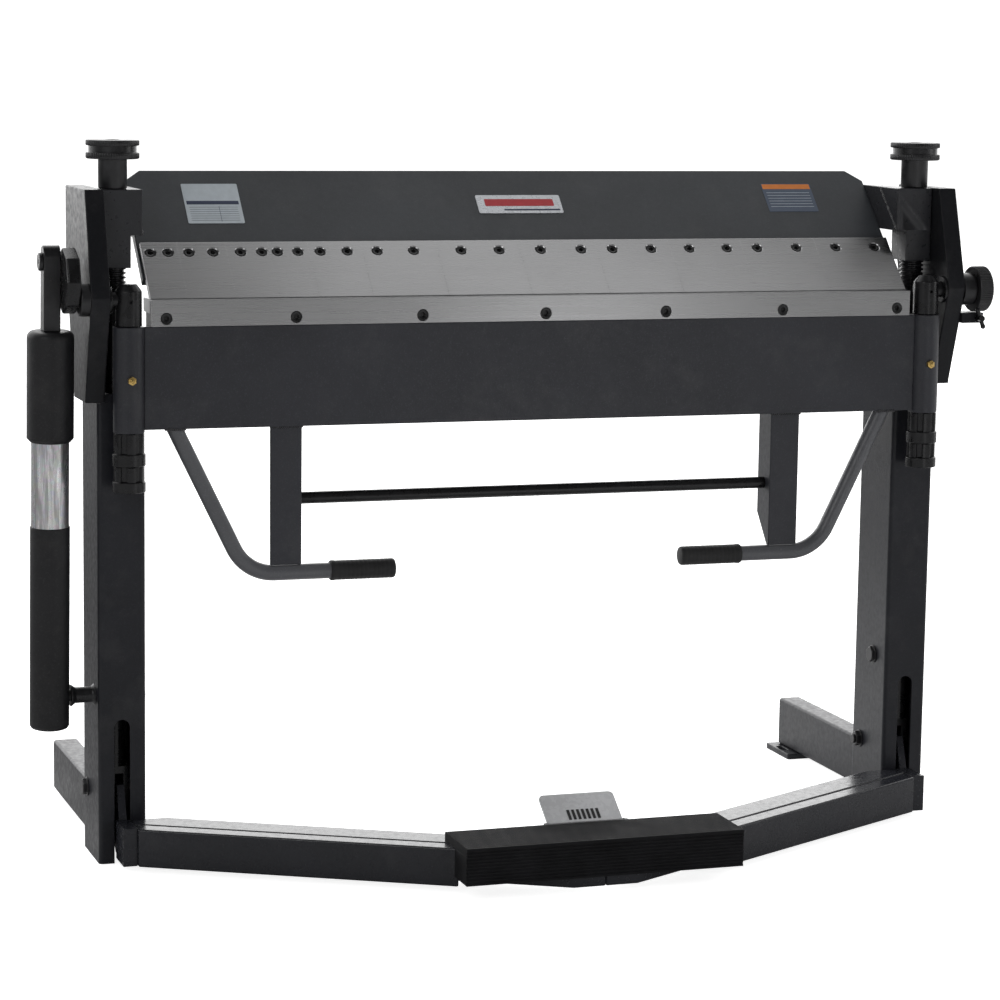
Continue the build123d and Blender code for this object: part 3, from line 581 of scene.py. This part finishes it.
# ---------------------------------------------------------------- frame
for side, s in SIDES:
    lx, ly = s * 672.5, 109.0
    o = prism("leg_" + side + "_tube", rrect(lx, ly, 75, 124, 7), "xy", 0, 728)
    o = boolean(o, prism("c", rrect(lx, ly, 65, 114, 3), "xy", -5, 733))
    sl = [(s * 673 - 12.5, -5), (s * 673 + 12.5, -5)] + \
         [(s * 673 + 12.5 * math.cos(math.radians(a)), 216.5 + 12.5 * math.sin(math.radians(a))) for a in range(0, 181, 15)]
    o = boolean(o, prism("c", sl, "xz", 42, 60))
    o = boolean(o, cyl("c", (lx, 140, 104), (1, 0, 0), 8.05, -60, 60))
    o = boolean(o, cyl("c", (s * 637, 97, 260), (1, 0, 0), 6.05, -8, 8))
    done(o, "frame", "frame", ["leg_" + side], 0.8)
    fx = s * 673
    o = prism("foot_" + side + "_tube", rrect(fx, 52.5, 42, 85, 5), "xz", 171, 521)
    o = join("foot_" + side, [o])
    done(o, "frame", "frame", ["foot_" + side], 0.8)
    o = prism("foot_pad_" + side, rrect(s * 658, 481, 52, 100, 4), "xy", 0, 10)
    o = boolean(o, prism("c", rrect(s * 642, 481, 12, 34, 5.9), "xy", -3, 13))
    done(o, "frame", "frame", [], 0.8)
    prof = [(37, 1053), (-12, 891), (38, 733), (38, 728), (128, 728), (190, 930), (191, 1053)]
    o = prism("cheek_" + side, prof, "yz", s * 700, s * 730)
    done(o, "cheek", "frame", ["cheek_" + side], 1.6, 3)
    weld("weld_cheek_" + side, (s * 708, 42, 729), (s * 708, 166, 729), 3.0, "frame")
    weld("weld_foot_" + side, (s * 652, 173, 12), (s * 652, 173, 93), 2.8, "frame")
    weld("weld_foot2_" + side, (s * 652, 173, 95), (s * 694, 173, 95), 2.8, "frame")

o = prism("bed_jaw", [(13.3, 888), (60, 888), (60, 870), (56, 866), (13.3, 866)], "yz", -635, 635)
done(o, "jaw", "frame", ["bed_jaw"], 0.4)

# hubs on the cheeks
for s, r, e in ((-1, 25.0, 744.5), (1, 26.5, 752.5)):
    o = lathe("hub_" + ("left" if s < 0 else "right"),
              [(13.05, 0), (r, 0), (r, e - 730 - 1.5), (r - 1.5, e - 730), (13.05, e - 730)], (s * 730, 13.3, 888), (s, 0, 0), 72)
    done(o, "oxide", "frame", [], 0.5)
    o = lathe("flange_" + ("left" if s < 0 else "right"),
              [(13.05, -4), (21, -4), (22, -3), (22, 0), (13.05, 0)], (s * 700, 13.3, 888), (s, 0, 0), 72)
    done(o, "oxide2", "frame", [], 0.3)
    o = lathe("bush_" + ("left" if s < 0 else "right"),
              [(13.05, 0), (17.9, 0), (17.9, 30), (13.05, 30)], (s * 700, 13.3, 888), (s, 0, 0), 48)
    done(o, "oxide2", "frame", ["hinge_bushes"], 0)

# pivot bolts and spring seat bolts: chamfered hexagons with washers


def hexbolt(name, origin, axis, r, h, washer, body, mat, nodes=(), stub=0):
    hexf = lambda rr, t, th, k: rr if rr <= r * 0.84 or t < 1.9 else rr * math.cos(math.pi / 6) / math.cos(
        (th + math.pi / 6) % (math.pi / 3) - math.pi / 6)
    prof = [(0, 0), (washer, 0), (washer, 1.8), (r, 2.0), (r, h - 1.2), (r * 0.83, h)]
    if stub:
        prof += [(stub, h), (stub, h + 3), (stub - 1, h + 4), (0, h + 4)]
    else:
        prof += [(0, h)]
    o = lathe(name, prof, origin, axis, 72, hexf)
    return done(o, mat, body, nodes, 0.3, angle=25)


for side, s in SIDES:
    hexbolt("pivot_head_" + side, (s * 710, 140, 104), (s, 0, 0), 13.0, 9.0, 15, "frame", "oxide", ["pivot_bolts"])
    hexbolt("pivot_nut_" + side, (s * 635, 140, 104), (-s, 0, 0), 13.0, 10.0, 15, "frame", "oxide", stub=8)
    o = cyl("pivot_shank_" + side, (s * 672.5, 140, 104), (1, 0, 0), 8, -38, 38, 40)
    done(o, "plated", "frame", [], 0)
    hexbolt("seat_head_" + side, (s * 635, 97, 260), (-s, 0, 0), 13.5, 7.5, 15, "frame", "oxide", ["seat_bolts"])

# strut anchor: flared stub
by, bz, ty, tz = 83.0, 265.0, 48.3, 944.0
o = lathe("anchor_stub", [(0, 0), (17, 0), (14, 3), (12.5, 6), (12.5, 30), (14.5, 33), (17, 36), (17, 38), (9, 38), (9, 82), (0, 82)],
          (-710, by, bz), (-1, 0, 0), 56)
done(o, "oxide", "frame", ["strut_anchor"], 0.4)

# lock block
o = prism("lock_block", [(-3, 832.5), (31, 832.5), (31, 849.5), (-3, 849.5)], "yz", 730, 769)
done(o, "cheek", "frame", ["lock_block"], 1.5, 3)

# ---------------------------------------------------------------- clamp beam
pl_y = 13.3 + 12 / s2


def on_slope(x, u, n=0.0):
    """x along the beam, u up the slope from the nose level, n outwards, in mm"""
    return (x, pl_y + u * s2 - n * s2, 888.3 + u * s2 + n * s2)


def slab(name, poly, n0, n1):
    m_ = len(poly)
    vs = [V(*on_slope(x, u, n0)) for x, u in poly] + [V(*on_slope(x, u, n1)) for x, u in poly]
    fs = [list(range(m_)), list(range(2 * m_ - 1, m_ - 1, -1))]
    for i in range(m_):
        j = (i + 1) % m_
        fs.append([i, j, m_ + j, m_ + i])
    return obj_from(name, vs, fs)


plate_lo, plate_hi = 26.7 / s2, 263.5
o = slab("beam_plate", [(-636, plate_lo), (636, plate_lo), (636, plate_hi - 23), (610, plate_hi), (-608, plate_hi),
                        (-636, plate_hi - 23)], -15, 0)
done(o, "beam", "clamp_beam", ["beam_plate"], 1.2, 3)

for side, s in SIDES:
    up_poly = [(s * 636, 60), (s * 698.5, 60), (s * 698.5, 116), (s * 676, 116), (s * 648, 196), (s * 636, 196)]
    low = prism("low", [(s * 654, 60), (s * 698.5, 60), (s * 698.5, 116), (s * 654, 116)], "xy", 932, 983)
    o = prism("arm_" + side, up_poly, "xy", 982, 1052)
    o = boolean(o, low, "UNION")
    o = boolean(o, cyl("c", (s * 677, 85, 900), (0, 0, 1), 20.3, 0, 170, 72))
    done(o, "arm", "clamp_beam", ["arm_" + side], 2.2, 3)
    weld("weld_arm_" + side, (s * 637, 62, 984), (s * 637, 62 + 62, 984 + 62), 3.6, "clamp_beam")

# fingers
edges = [-633, -575.5, -499, -430.5, -367, -280.5, -156.5, -18, 113, 240.5, 367, 499.5, 633]
fs_x = [-620, -592, -559, -521, -477, -443, -418, -385, -349, -305, -256, -196, -117, -53, 17, 86, 140, 207, 274, 340,
        394, 464, 535, 605]
finger_h, nose_z = 80.6, 888.3
row = (finger_h - 14.5) / s2
parts = []
for a, b in zip(edges[:-1], edges[1:]):
    parts.append(prism("f", [(13.3, nose_z), (13.3 + finger_h, nose_z + finger_h),
                             (13.3 + finger_h + 12 * s2, nose_z + finger_h - 12 * s2), (13.3 + 12 / s2, nose_z)],
                       "yz", a + 0.04, b - 0.04))
o = join("clamp_fingers", parts)
nrm = (0, -s2, s2)


def on_face(x, u, n=0.0):
    return (x, 13.3 + u * s2 - n * s2, nose_z + u * s2 + n * s2)


cut = join("c", [lathe("k", [(0, -7.5), (8.3, -7.5), (8.3, -1.5), (10.3, 0.5), (10.3, 4), (0, 4)], on_face(x, row), nrm, 40) for x in fs_x])
o = boolean(o, cut)
done(o, "ground", "clamp_beam", ["clamp_fingers"], 0.10, 1)
o = socket_heads("finger_screws", [on_face(x, row, -0.5) for x in fs_x], nrm, 8.2, 4.2, 4.5, 6.4)
done(o, "screw", "clamp_beam", ["finger_screws"], 0, angle=40)

# blank plates on the beam


def rr_slab(name, cx, cu, w, h, r, n0, n1, mat, nodes=(), bevel=0.25):
    o = slab(name, rrect(cx, cu, w, h, r, 4), n0, n1)
    return done(o, mat, "clamp_beam", nodes, bevel)


rr_slab("data_plate", -501, 192.5, 90.5, 83, 2, 0, 0.8, "plate", ["data_plate"])
rr_slab("data_band", -501, 194, 84, 7.5, 0.5, 0.7, 0.95, "navy", bevel=0)
for i in range(7):
    rr_slab("data_rule_%d" % i, -501, 184.5 - 4.6 * i, 78, 0.7, 0.2, 0.7, 0.92, "line", bevel=0)
rr_slab("data_rule_mid", -492, 170.5, 0.8, 32, 0.2, 0.7, 0.93, "line", bevel=0)
rr_slab("front_badge", 8.5, 189, 144.5, 39, 3, 0, 1.2, "badge", ["front_badge"], bevel=0.4)
rr_slab("badge_bar", 8.5, 192, 118, 15, 2.0, 1.1, 1.5, "red", bevel=0.15)
rr_slab("badge_line", 28, 176.5, 96, 3.2, 0.8, 1.1, 1.4, "navy", bevel=0)
rr_slab("side_label", 490.5, 202, 89, 62, 1.5, 0, 0.5, "blue", ["side_label"], 0.1)
rr_slab("side_label_head", 490.5, 226.5, 86, 10.5, 0.6, 0.45, 0.62, "orange", bevel=0)
for i in range(6):
    rr_slab("side_rule_%d" % i, 490.5, 213 - 6.2 * i, 78, 0.8, 0.2, 0.45, 0.6, "plate", bevel=0)

# ---------------------------------------------------------------- knobs
for side, s in SIDES:
    def knurl(r, t, th, k):
        if r > 40.2 and k % 2:
            return r - 0.9
        return r
    prof = [(20.05, 1052.5), (21.0, 1052.5), (22.2, 1055), (22.2, 1097), (22.6, 1098), (38.5, 1098), (40.0, 1098.6), (41, 1099.8),
            (41, 1106.4), (40.1, 1107.6), (37, 1108), (37, 1118), (40.1, 1118.4), (41, 1119.6), (41, 1125.2), (40.0, 1126.5),
            (38.5, 1127), (12, 1127), (10.5, 1125.8), (0, 1125.8)]
    o = lathe("knob_" + side, prof, (s * 677, 85, 0), (0, 0, 1), 144, knurl)
    # the nut's bore is closed above the rod
    done(o, "oxide", "knob_" + side[0], ["knob_" + side], 0, angle=28)

# ---------------------------------------------------------------- leaf
o = box("leaf_plate", -646, 646, 1, 13, 689, 846.8)
o = join("leaf_plate", [o])
done(o, "leaf", "leaf", ["leaf_plate"], 1.0, 3)
o = box("leaf_strip_back", -635, 635, 8, 13, 846.8, 887.4)
done(o, "leaf", "leaf", [], 0.3)
o = box("leaf_strip", -635, 635, 0, 8, 846.8, 887.5)
sx = [-612, -408, -204, 0, 204, 408, 612]
o = boolean(o, join("c", [cyl("k", (x, 0, 859), (0, -1, 0), 9.3, -6, 4, 40) for x in sx]))
done(o, "ground", "leaf", ["leaf_strip"], 0.45, 2)
o = socket_heads("strip_screws", [(x, 0.5, 859) for x in sx], (0, -1, 0), 8.8, 4.3, 4.8, 5.0)
done(o, "screw", "leaf", ["strip_screws"], 0, angle=40)
for side, s in SIDES:
    o = lathe("sleeve_" + side, [(15.05, 685), (23.3, 685), (24.1, 685.8), (24.1, 846.2), (23.3, 847), (15.05, 847)],
              (s * 668.6, 10, 0), (0, 0, 1), 72)
    done(o, "leaf", "leaf", ["sleeve_" + side], 0.4)
    hexf = lambda rr, t, th, k: rr if rr < 5.5 else rr * math.cos(math.pi / 6) / math.cos(
        (th + math.pi / 6) % (math.pi / 3) - math.pi / 6)
    o = lathe("nipple_" + side, [(0, -2), (6.9, -2), (6.9, 4.4), (6.0, 5.1), (3.4, 5.3), (2.8, 6.2), (3.3, 7.1), (2.4, 8.3), (0, 8.5)],
              (s * 668.6, -14.1, 766.5), (0, -1, 0), 48, hexf)
    done(o, "brass", "leaf", ["grease_nipples"], 0.2, angle=25)
    path = fillet_path((s * 598, 15, 692), (s * 483, 15, 457.8), (s * 244, 15, 457.8), 72)
    o = sweep("handle_" + side, path, 12.5, 40)
    done(o, "handle", "leaf", ["handle_" + side], 0, angle=50)
    weld("weld_handle_" + side, (s * 598 - 15, 2, 689), (s * 598 + 15, 2, 689), 2.6, "leaf")
    gr = [(0, 0), (11.6, 0), (14.2, 1.0), (15.3, 3.0), (15.5, 5.5)]
    for i in range(13):
        t = 9 + i * 7.0
        gr += [(15.5, t), (15.28, t + 0.8), (15.28, t + 1.4), (15.5, t + 2.2)]
    gr += [(15.5, 98), (16.0, 99.5), (16.0, 103.5), (15.2, 105.2), (13.0, 105.5), (12.5, 105.5)]
    o = lathe("grip_" + side, gr + [(0, 105.4)], (s * 242.5, 15, 457.8), (s, 0, 0), 56)
    done(o, "grip", "leaf", ["hand_grips"], 0, angle=50)
    post = [(13, 722), (58, 722), (58, 520), (16, 470.5), (8, 470.5), (8, 689), (13, 689)]
    o = prism("post_" + side, post, "yz", s * 396, s * 446)
    o = boolean(o, prism("c", [(13, 460), (64, 460), (64, 730), (18, 730), (18, 687), (13, 687)], "yz", s * 401, s * 455))
    done(o, "leaf", "leaf", ["leaf_posts"], 1.4, 3)
    weld("weld_post_" + side, (s * 396, 8, 688), (s * 446, 8, 688), 2.4, "leaf")
o = cyl("cross_rod", (0, 35, 571.5), (1, 0, 0), 9.5, -396, 396, 32)
done(o, "oxide2", "leaf", ["cross_rod"], 0)

# ---------------------------------------------------------------- yokes, nuts
for side, s in SIDES:
    o = lathe("yoke_" + side, [(0, 592), (13, 592), (15, 594), (15, 848), (19.8, 848), (20.4, 848.8), (20.4, 900.5), (19.8, 902.0), (13.0, 911),
                               (12.0, 912), (0, 912)], (s * 668.6, 10, 0), (0, 0, 1), 72)
    o = boolean(o, cyl("c", (s * 668.6, -12, 886), (0, 1, 0), 2.6, -3, 8, 24))
    done(o, "oxide2", "yokes", ["yoke_" + side], 0.2, angle=25)
    end = 745 if s < 0 else 779
    o = lathe("hinge_shaft_" + side, [(0, 0), (13, 0), (13, end - 654), (11.8, end - 652), (0, end - 652)],
              (s * 652, 13.3, 888), (s, 0, 0), 64)
    done(o, "oxide2", "yokes", ["hinge_shafts"], 0, angle=30)
    for name, z1, body, z0 in (("adjust_nut_", 684.7, 653.0, 634.0), ("lock_nut_", 633.7, 610.0, 593.5)):
        def flute(r, t, th, k, z1=z1, body=body):
            if r > 22.5 and t > body + 0.5 and (th * 180 / math.pi + 12) % 60 < 24:
                return 20.6
            return r
        prof = [(15.05, z0), (24.6, z0), (25.5, z0 + 0.9), (25.5, body - 0.9), (24.6, body), (23.5, body + 0.2), (23.5, body + 1.6),
                (23.5, z1 - 1.0), (22.7, z1), (15.05, z1)]
        o = lathe(name + side, prof, (s * 668.6, 10, 0), (0, 0, 1), 120, flute)
        done(o, "oxide2", ("adj_" if name[0] == "a" else "lock_") + side[0], [name + side], 0.25, angle=35)

# crank plate
oc = []
for i in range(8):
    a = math.radians(45 * i + 22.5)
    oc.append((32 + 50.5 * math.cos(a), 916 + 50.5 * math.sin(a)))
oc2 = []
for i in range(8):
    a = math.radians(45 * i)
    oc2.append((32 + 50.5 * math.cos(a), 916 + 50.5 * math.sin(a)))
o = prism("crank_plate", oc2, "yz", -745, -766)
done(o, "oxide2", "yokes", ["crank_plate"], 3.0, 4)

# ---------------------------------------------------------------- strut
sd = Vector((0, ty - by, tz - bz)).normalized()
so = (-780, by, bz)
o = lathe("strut_lower", [(0, -50), (25, -50), (28.5, -48.6), (30.6, -45), (30.6, 269.4), (30.0, 271), (29.1, 271), (29.1, 266), (0, 266)],
          so, sd, 80)
done(o, "strut", "strut_low", ["strut_lower"], 0.3)
o = lathe("strut_tube", [(0, 148), (29, 148), (29, 409), (0, 409)], so, sd, 80)
done(o, "zinc", "strut_up", ["strut_tube"], 0)
prof = [(29.05, 403.5), (31, 403.5), (36, 409), (36, 563.5)]
for i in range(1, 9):
    a = math.radians(90 * i / 8)
    prof.append((36 - 10 + 10 * math.cos(a), 564.5 + 10 * math.sin(a)))
prof += [(0, 574.5)]
o = lathe("strut_sleeve", [(0, 406.5), (29, 406.5), (29, 403.5)] + prof[1:], so, sd, 80)
done(o, "strut", "strut_up", ["strut_sleeve"], 0.3)
# clevis bar, rounded over the pin
pv = Vector((0, ty - by, tz - bz)).length * 1000 / 1000
perp = Vector((0, sd.z, -sd.y))


def along(t, w):
    return (by + sd.y * t + perp.y * w, bz + sd.z * t + perp.z * w)


bar = [along(574.5, -15), along(574.5, 15), along(pv + 8, 15)]
for i in range(1, 12):
    a = math.radians(180 * i / 12)
    bar.append(along(pv + 8 + 17 * math.sin(a), 15 * math.cos(a)))
bar.append(along(pv + 8, -15))
o = prism("strut_bar", bar, "yz", -793, -767)
done(o, "oxide", "strut_up", ["strut_bar"], 1.6, 3)
o = lathe("strut_pin", [(0, 0), (8, 0), (8, 26), (13, 26), (14, 27), (14, 31), (12.6, 32), (4, 32), (3.2, 31.2), (0, 31.2)],
          (-767, ty, tz), (-1, 0, 0), 56)
done(o, "oxide", "strut_up", ["strut_pin"], 0.2)

# ---------------------------------------------------------------- angle stop


def knurl2(r, t, th, k):
    return r - (0.8 if (r > 36.6 and k % 2) else 0)


o = lathe("stop_collar", [(13.05, 0.3), (36.0, 0.3), (37.5, 1.6), (37.5, 22.4), (36.0, 23.8), (20, 23.8), (19, 22.8), (13.05, 22.8)],
          (753, 13.3, 888), (1, 0, 0), 144, knurl2)
done(o, "oxide", "stop", ["stop_collar"], 0, angle=25)
a_ = cyl("r", (758, 10, 841), (0, -1, 0), 5, 0, 31, 32)
t_ = Vector((-0.371, 0, 0.928))
b_ = cyl("t", (758, -14, 841), t_, 3.5, -14.5, 14.5, 24)
balls = []
for k in (-1, 1):
    pr = [(0, -4.2)] + [(4.2 * math.sin(math.radians(a)), -4.2 * math.cos(math.radians(a))) for a in range(20, 180, 20)] + [(0, 4.2)]
    balls.append(lathe("b", pr, (758 + k * 14.5 * t_.x, -14, 841 + k * 14.5 * t_.z), t_, 24))
o = join("lock_screw", [a_, b_] + balls)
done(o, "oxide2", "stop_screw", ["lock_screw"], 0, angle=40)

# ---------------------------------------------------------------- pedal
f0, fkk = -384.0, 0.547
w_front, w_gap, w_all = 34.0, 3.4, 97.0


def fl(x, off=0.0):
    return f0 + fkk * x + off


for side, s in SIDES:
    a0 = w_front + w_gap
    xa = (-318.0 - f0 - a0) / fkk
    xb = (43.0 - f0 - w_all) / fkk
    p1 = prism("p", [(s * 219, fl(219)), (s * 662, fl(662)), (s * 662, fl(662, w_front)), (s * 219, fl(219, w_front))], "xy", 10, 70)
    p2 = prism("p", [(s * 0.2, -318), (s * xa, -318), (s * 662, fl(662, a0)), (s * 662, 43), (s * xb, 43), (s * 0.2, fl(0.2, w_all))],
               "xy", 10, 70)
    o = join("pedal_arm_" + side, [p1, p2])
    done(o, "pedal", "pedal", ["pedal_arm_" + side], 2.6, 3)
    lv = [(43, 12), (72, 12), (138, 82), (150, 86), (150, 120), (138, 122), (62, 122), (43, 68)]
    o = prism("pedal_lever_" + side, lv, "yz", s * 673 - 6, s * 673 + 6)
    o = boolean(o, cyl("c", (s * 673, 140, 104), (1, 0, 0), 22, -6, 6, 64), "UNION")
    o = boolean(o, prism("c", rrect(81, 104, 38, 20, 9.9), "yz", s * 673 - 9, s * 673 + 9))
    o = boolean(o, cyl("c", (s * 673, 140, 104), (1, 0, 0), 8.05, -9, 9, 48))
    o = join("pedal_lever_" + side, [o, prism("h", [(s * 662, -14), (s * 684, -14), (s * 684, 43), (s * 662, 43)], "xy", 10, 70)])
    done(o, "pedal", "pedal", ["pedal_levers"], 1.2, 2)
    weld("weld_pedal_" + side, (s * 661, 43, 14), (s * 661, 43, 68), 2.4, "pedal")
# ribbed tread cover
front, y0, y1, z0, z1 = [], -321.0, -210.0, 26.0, 84.0
prof = [(y0 + 3, z0), (y0, z0)]
z = z0 + 3
while z < z1 - 5:
    prof += [(y0, z), (y0 + 1.3, z + 0.9), (y0 + 1.3, z + 2.1), (y0, z + 3.0)]
    z += 5.2
prof += [(y0, z1 - 2.5), (y0 + 0.7, z1 - 0.7), (y0 + 2.5, z1)]
y = y0 + 5
while y < y1 - 6:
    prof += [(y, z1), (y + 0.9, z1 - 1.2), (y + 2.4, z1 - 1.2), (y + 3.3, z1)]
    y += 6.0
prof += [(y1 - 1.5, z1), (y1, z1 - 1.5), (y1, 70), (y0 + 3, 70)]
o = prism("tread_cover", prof, "yz", -225, 225)
done(o, "tread", "pedal", ["tread_cover"], 0.2, 2, smooth=True)
for s in (-1, 1):
    o = prism("tread_end_%s" % ("l" if s < 0 else "r"), [(s * 225, y0 + 1.4), (s * 225, fl(225) - 0.2), (s * 221, fl(221) - 0.2), (s * 221, y0 + 1.4)],
              "xy", 26, 70)
    done(o, "tread", "pedal", [], 0.2)
for x0, x1 in ((-61, -55), (70, 76)):
    o = prism("lug_%d" % abs(x0), rrect(-206, 77.5, 14, 13, 3), "yz", x0, x1)
    done(o, "pedal", "pedal", [], 0.5)
o = cyl("release_pin", (0, -204.5, 78), (1, 0, 0), 2.5, -61, 76, 24)
done(o, "plated", "pedal", [], 0)
# release plate: tilted plate with a rolled edge round the pin
ry, rz = -204.5, 78.0
d1 = Vector((0, 0.827, 0.562))
n1 = Vector((0, -0.562, 0.827))


def rel(t, n):
    return (ry + d1.y * t + n1.y * n, rz + d1.z * t + n1.z * n)


outline = [(-54.5, 4)]
for cx_, a0_ in ((-46.5, 180), (61.5, 90)):
    for i in range(7):
        a = math.radians(a0_ - 15 * i)
        outline.append((cx_ + 8 * math.cos(a), 56 + 8 * math.sin(a)))
outline.append((69.5, 4))
n_o = len(outline)
vv = [V(x, *rel(t, -3)) for x, t in outline] + [V(x, *rel(t, 3)) for x, t in outline]
ff = [list(range(n_o)), list(range(2 * n_o - 1, n_o - 1, -1))] + \
     [[i, (i + 1) % n_o, n_o + (i + 1) % n_o, n_o + i] for i in range(n_o)]
o = obj_from("release_plate", vv, ff)
done(o, "release", "release", ["release_plate"], 1.2, 3)
o = lathe("release_barrel", [(2.55, 0), (5, 0), (5, 124), (2.55, 124)], (-54.5, ry, rz), (1, 0, 0), 32)
done(o, "pedal", "release", [], 0.3)
for i in range(7):
    x = -18 + i * 8
    o = prism("release_rib_%d" % i, [rel(9, 2.6), rel(29, 2.6), rel(29, 4.4), rel(9, 4.4)], "yz", x, x + 4.5)
    done(o, "grip", "release", [], 0.6, 2)

# ---------------------------------------------------------------- materials of the CAD nodes that stay
keep = {"bed_beam": "frame", "spring_seats": "frame", "return_springs": "shaft", "beam_back": "beam", "tie_rod_left": "oxide2",
        "tie_rod_right": "oxide2", "rod_pins": "oxide2"}
for n, k in keep.items():
    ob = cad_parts[n]
    for sl_ in ob.material_slots:
        sl_.material = M[k]

# ---------------------------------------------------------------- stage, light
floor = bpy.data.meshes.new("floor")
floor.from_pydata([(-14, -14, 0), (14, -14, 0), (14, 14, 0), (-14, 14, 0)], [], [[0, 1, 2, 3]])
fo = bpy.data.objects.new("floor", floor)
bpy.context.scene.collection.objects.link(fo)
fm, fnt, fbs = new_mat("floor_white")
fn = noise(fnt, coords(fnt), 2.0, 2.0)
flp = fnt.nodes.new("ShaderNodeLightPath")
fsep = fnt.nodes.new("ShaderNodeSeparateXYZ")
fnt.links.new(coords(fnt), fsep.inputs[0])
# painted shade: for the machine's bounce light the floor is 0.62 grey and drops to 0.07 in a patch to the left of and
# behind the machine; the camera sees the floor white
floor_painted_shade = math_node(fnt, "MULTIPLY", maprange(fnt, fsep.outputs["X"], -0.82, -0.55, 1.0, 0.0),
                  maprange(fnt, fsep.outputs["Y"], 0.05, 0.35, 0.0, 1.0))
fbase = mix_col(fnt, floor_painted_shade, (0.62, 0.62, 0.62), (0.07, 0.07, 0.07))
fnt.links.new(mix_col(fnt, flp.outputs["Is Camera Ray"], fbase, ramp(fnt, fn, [(0.3, 0.93), (0.7, 0.95)])), fbs.inputs["Base Color"])


def floor_emission(is_cam):
    """camera sees a bright floor; the machine sees a pool of light behind it that fades"""
    sep = fnt.nodes.new("ShaderNodeSeparateXYZ")
    fnt.links.new(coords(fnt), sep.inputs[0])
    near = maprange(fnt, sep.outputs["Y"], 2.4, 1.6, 0.02, 0.45)
    front = maprange(fnt, sep.outputs["Y"], 0.0, 0.5, 0.0, 1.0)
    side = maprange(fnt, sep.outputs["X"], -0.95, -0.55, 0.12, 1.0)
    pool = math_node(fnt, "MULTIPLY", math_node(fnt, "MULTIPLY", near, front), side)
    other = math_node(fnt, "ADD", pool, 0.05)
    inv = math_node(fnt, "SUBTRACT", 1.0, is_cam)
    return math_node(fnt, "ADD", math_node(fnt, "MULTIPLY", other, inv), math_node(fnt, "MULTIPLY", is_cam, 0.85))


fbs.inputs["Roughness"].default_value = 0.9
fbs.inputs["Emission Color"].default_value = (1, 1, 1, 1)
fnt.links.new(floor_emission(flp.outputs["Is Camera Ray"]), fbs.inputs["Emission Strength"])
floor.materials.append(fm)

world = bpy.data.worlds.new("world")
bpy.context.scene.world = world
world.use_nodes = True
wn_ = world.node_tree
wn_.nodes.clear()
wo = wn_.nodes.new("ShaderNodeOutputWorld")
b1 = wn_.nodes.new("ShaderNodeBackground")
b1.inputs[0].default_value = (1, 1, 1, 1)
b1.inputs[1].default_value = 1.2
b2 = wn_.nodes.new("ShaderNodeBackground")
lp = wn_.nodes.new("ShaderNodeLightPath")
mx = wn_.nodes.new("ShaderNodeMixShader")
tc = wn_.nodes.new("ShaderNodeTexCoord")
sp = wn_.nodes.new("ShaderNodeSeparateXYZ")
wn_.links.new(tc.outputs["Generated"], sp.inputs[0])
mr = wn_.nodes.new("ShaderNodeMapRange")
mr.inputs["From Min"].default_value = -0.05
mr.inputs["From Max"].default_value = 0.80
mr.inputs["To Min"].default_value = 0.11
mr.inputs["To Max"].default_value = 2.6
wn_.links.new(sp.outputs["Y"], mr.inputs["Value"])
b2.inputs[0].default_value = (1, 1, 1, 1)
wn_.links.new(mr.outputs[0], b2.inputs[1])
wn_.links.new(lp.outputs["Is Camera Ray"], mx.inputs[0])
wn_.links.new(b2.outputs[0], mx.inputs[1])
wn_.links.new(b1.outputs[0], mx.inputs[2])
wn_.links.new(mx.outputs[0], wo.inputs[0])


def area(name, loc, target, size, size_y, power, color=(1, 1, 1)):
    ld = bpy.data.lights.new(name, "AREA")
    ld.shape = "RECTANGLE"
    ld.size, ld.size_y = size, size_y
    ld.energy = power
    ld.color = color
    lo = bpy.data.objects.new(name, ld)
    bpy.context.scene.collection.objects.link(lo)
    lo.location = Vector(loc)
    d = Vector(target) - Vector(loc)
    lo.rotation_euler = d.to_track_quat("-Z", "Y").to_euler()
    return lo


area("top_soft", (0.92, -0.38, 3.3), (0.2, 0, 0.9), 0.58, 1.6, 2.95)
area("front_low", (0.85, -2.3, 0.48), (0, 0, 0.87), 0.46, 0.9, 1.35)
area("key_left", (-3.2, -3.2, 2.6), (0, 0, 0.7), 1.8, 1.8, 34)
area("fill_right", (3.6, -1.3, 1.7), (0, 0, 0.6), 1.2, 2.0, 19)
ff = area("front_fill", (1.3, -3.3, 0.7), (0, 0, 0.5), 2.2, 0.8, 12)
ff.data.specular_factor = 0.0
ff.visible_glossy = False

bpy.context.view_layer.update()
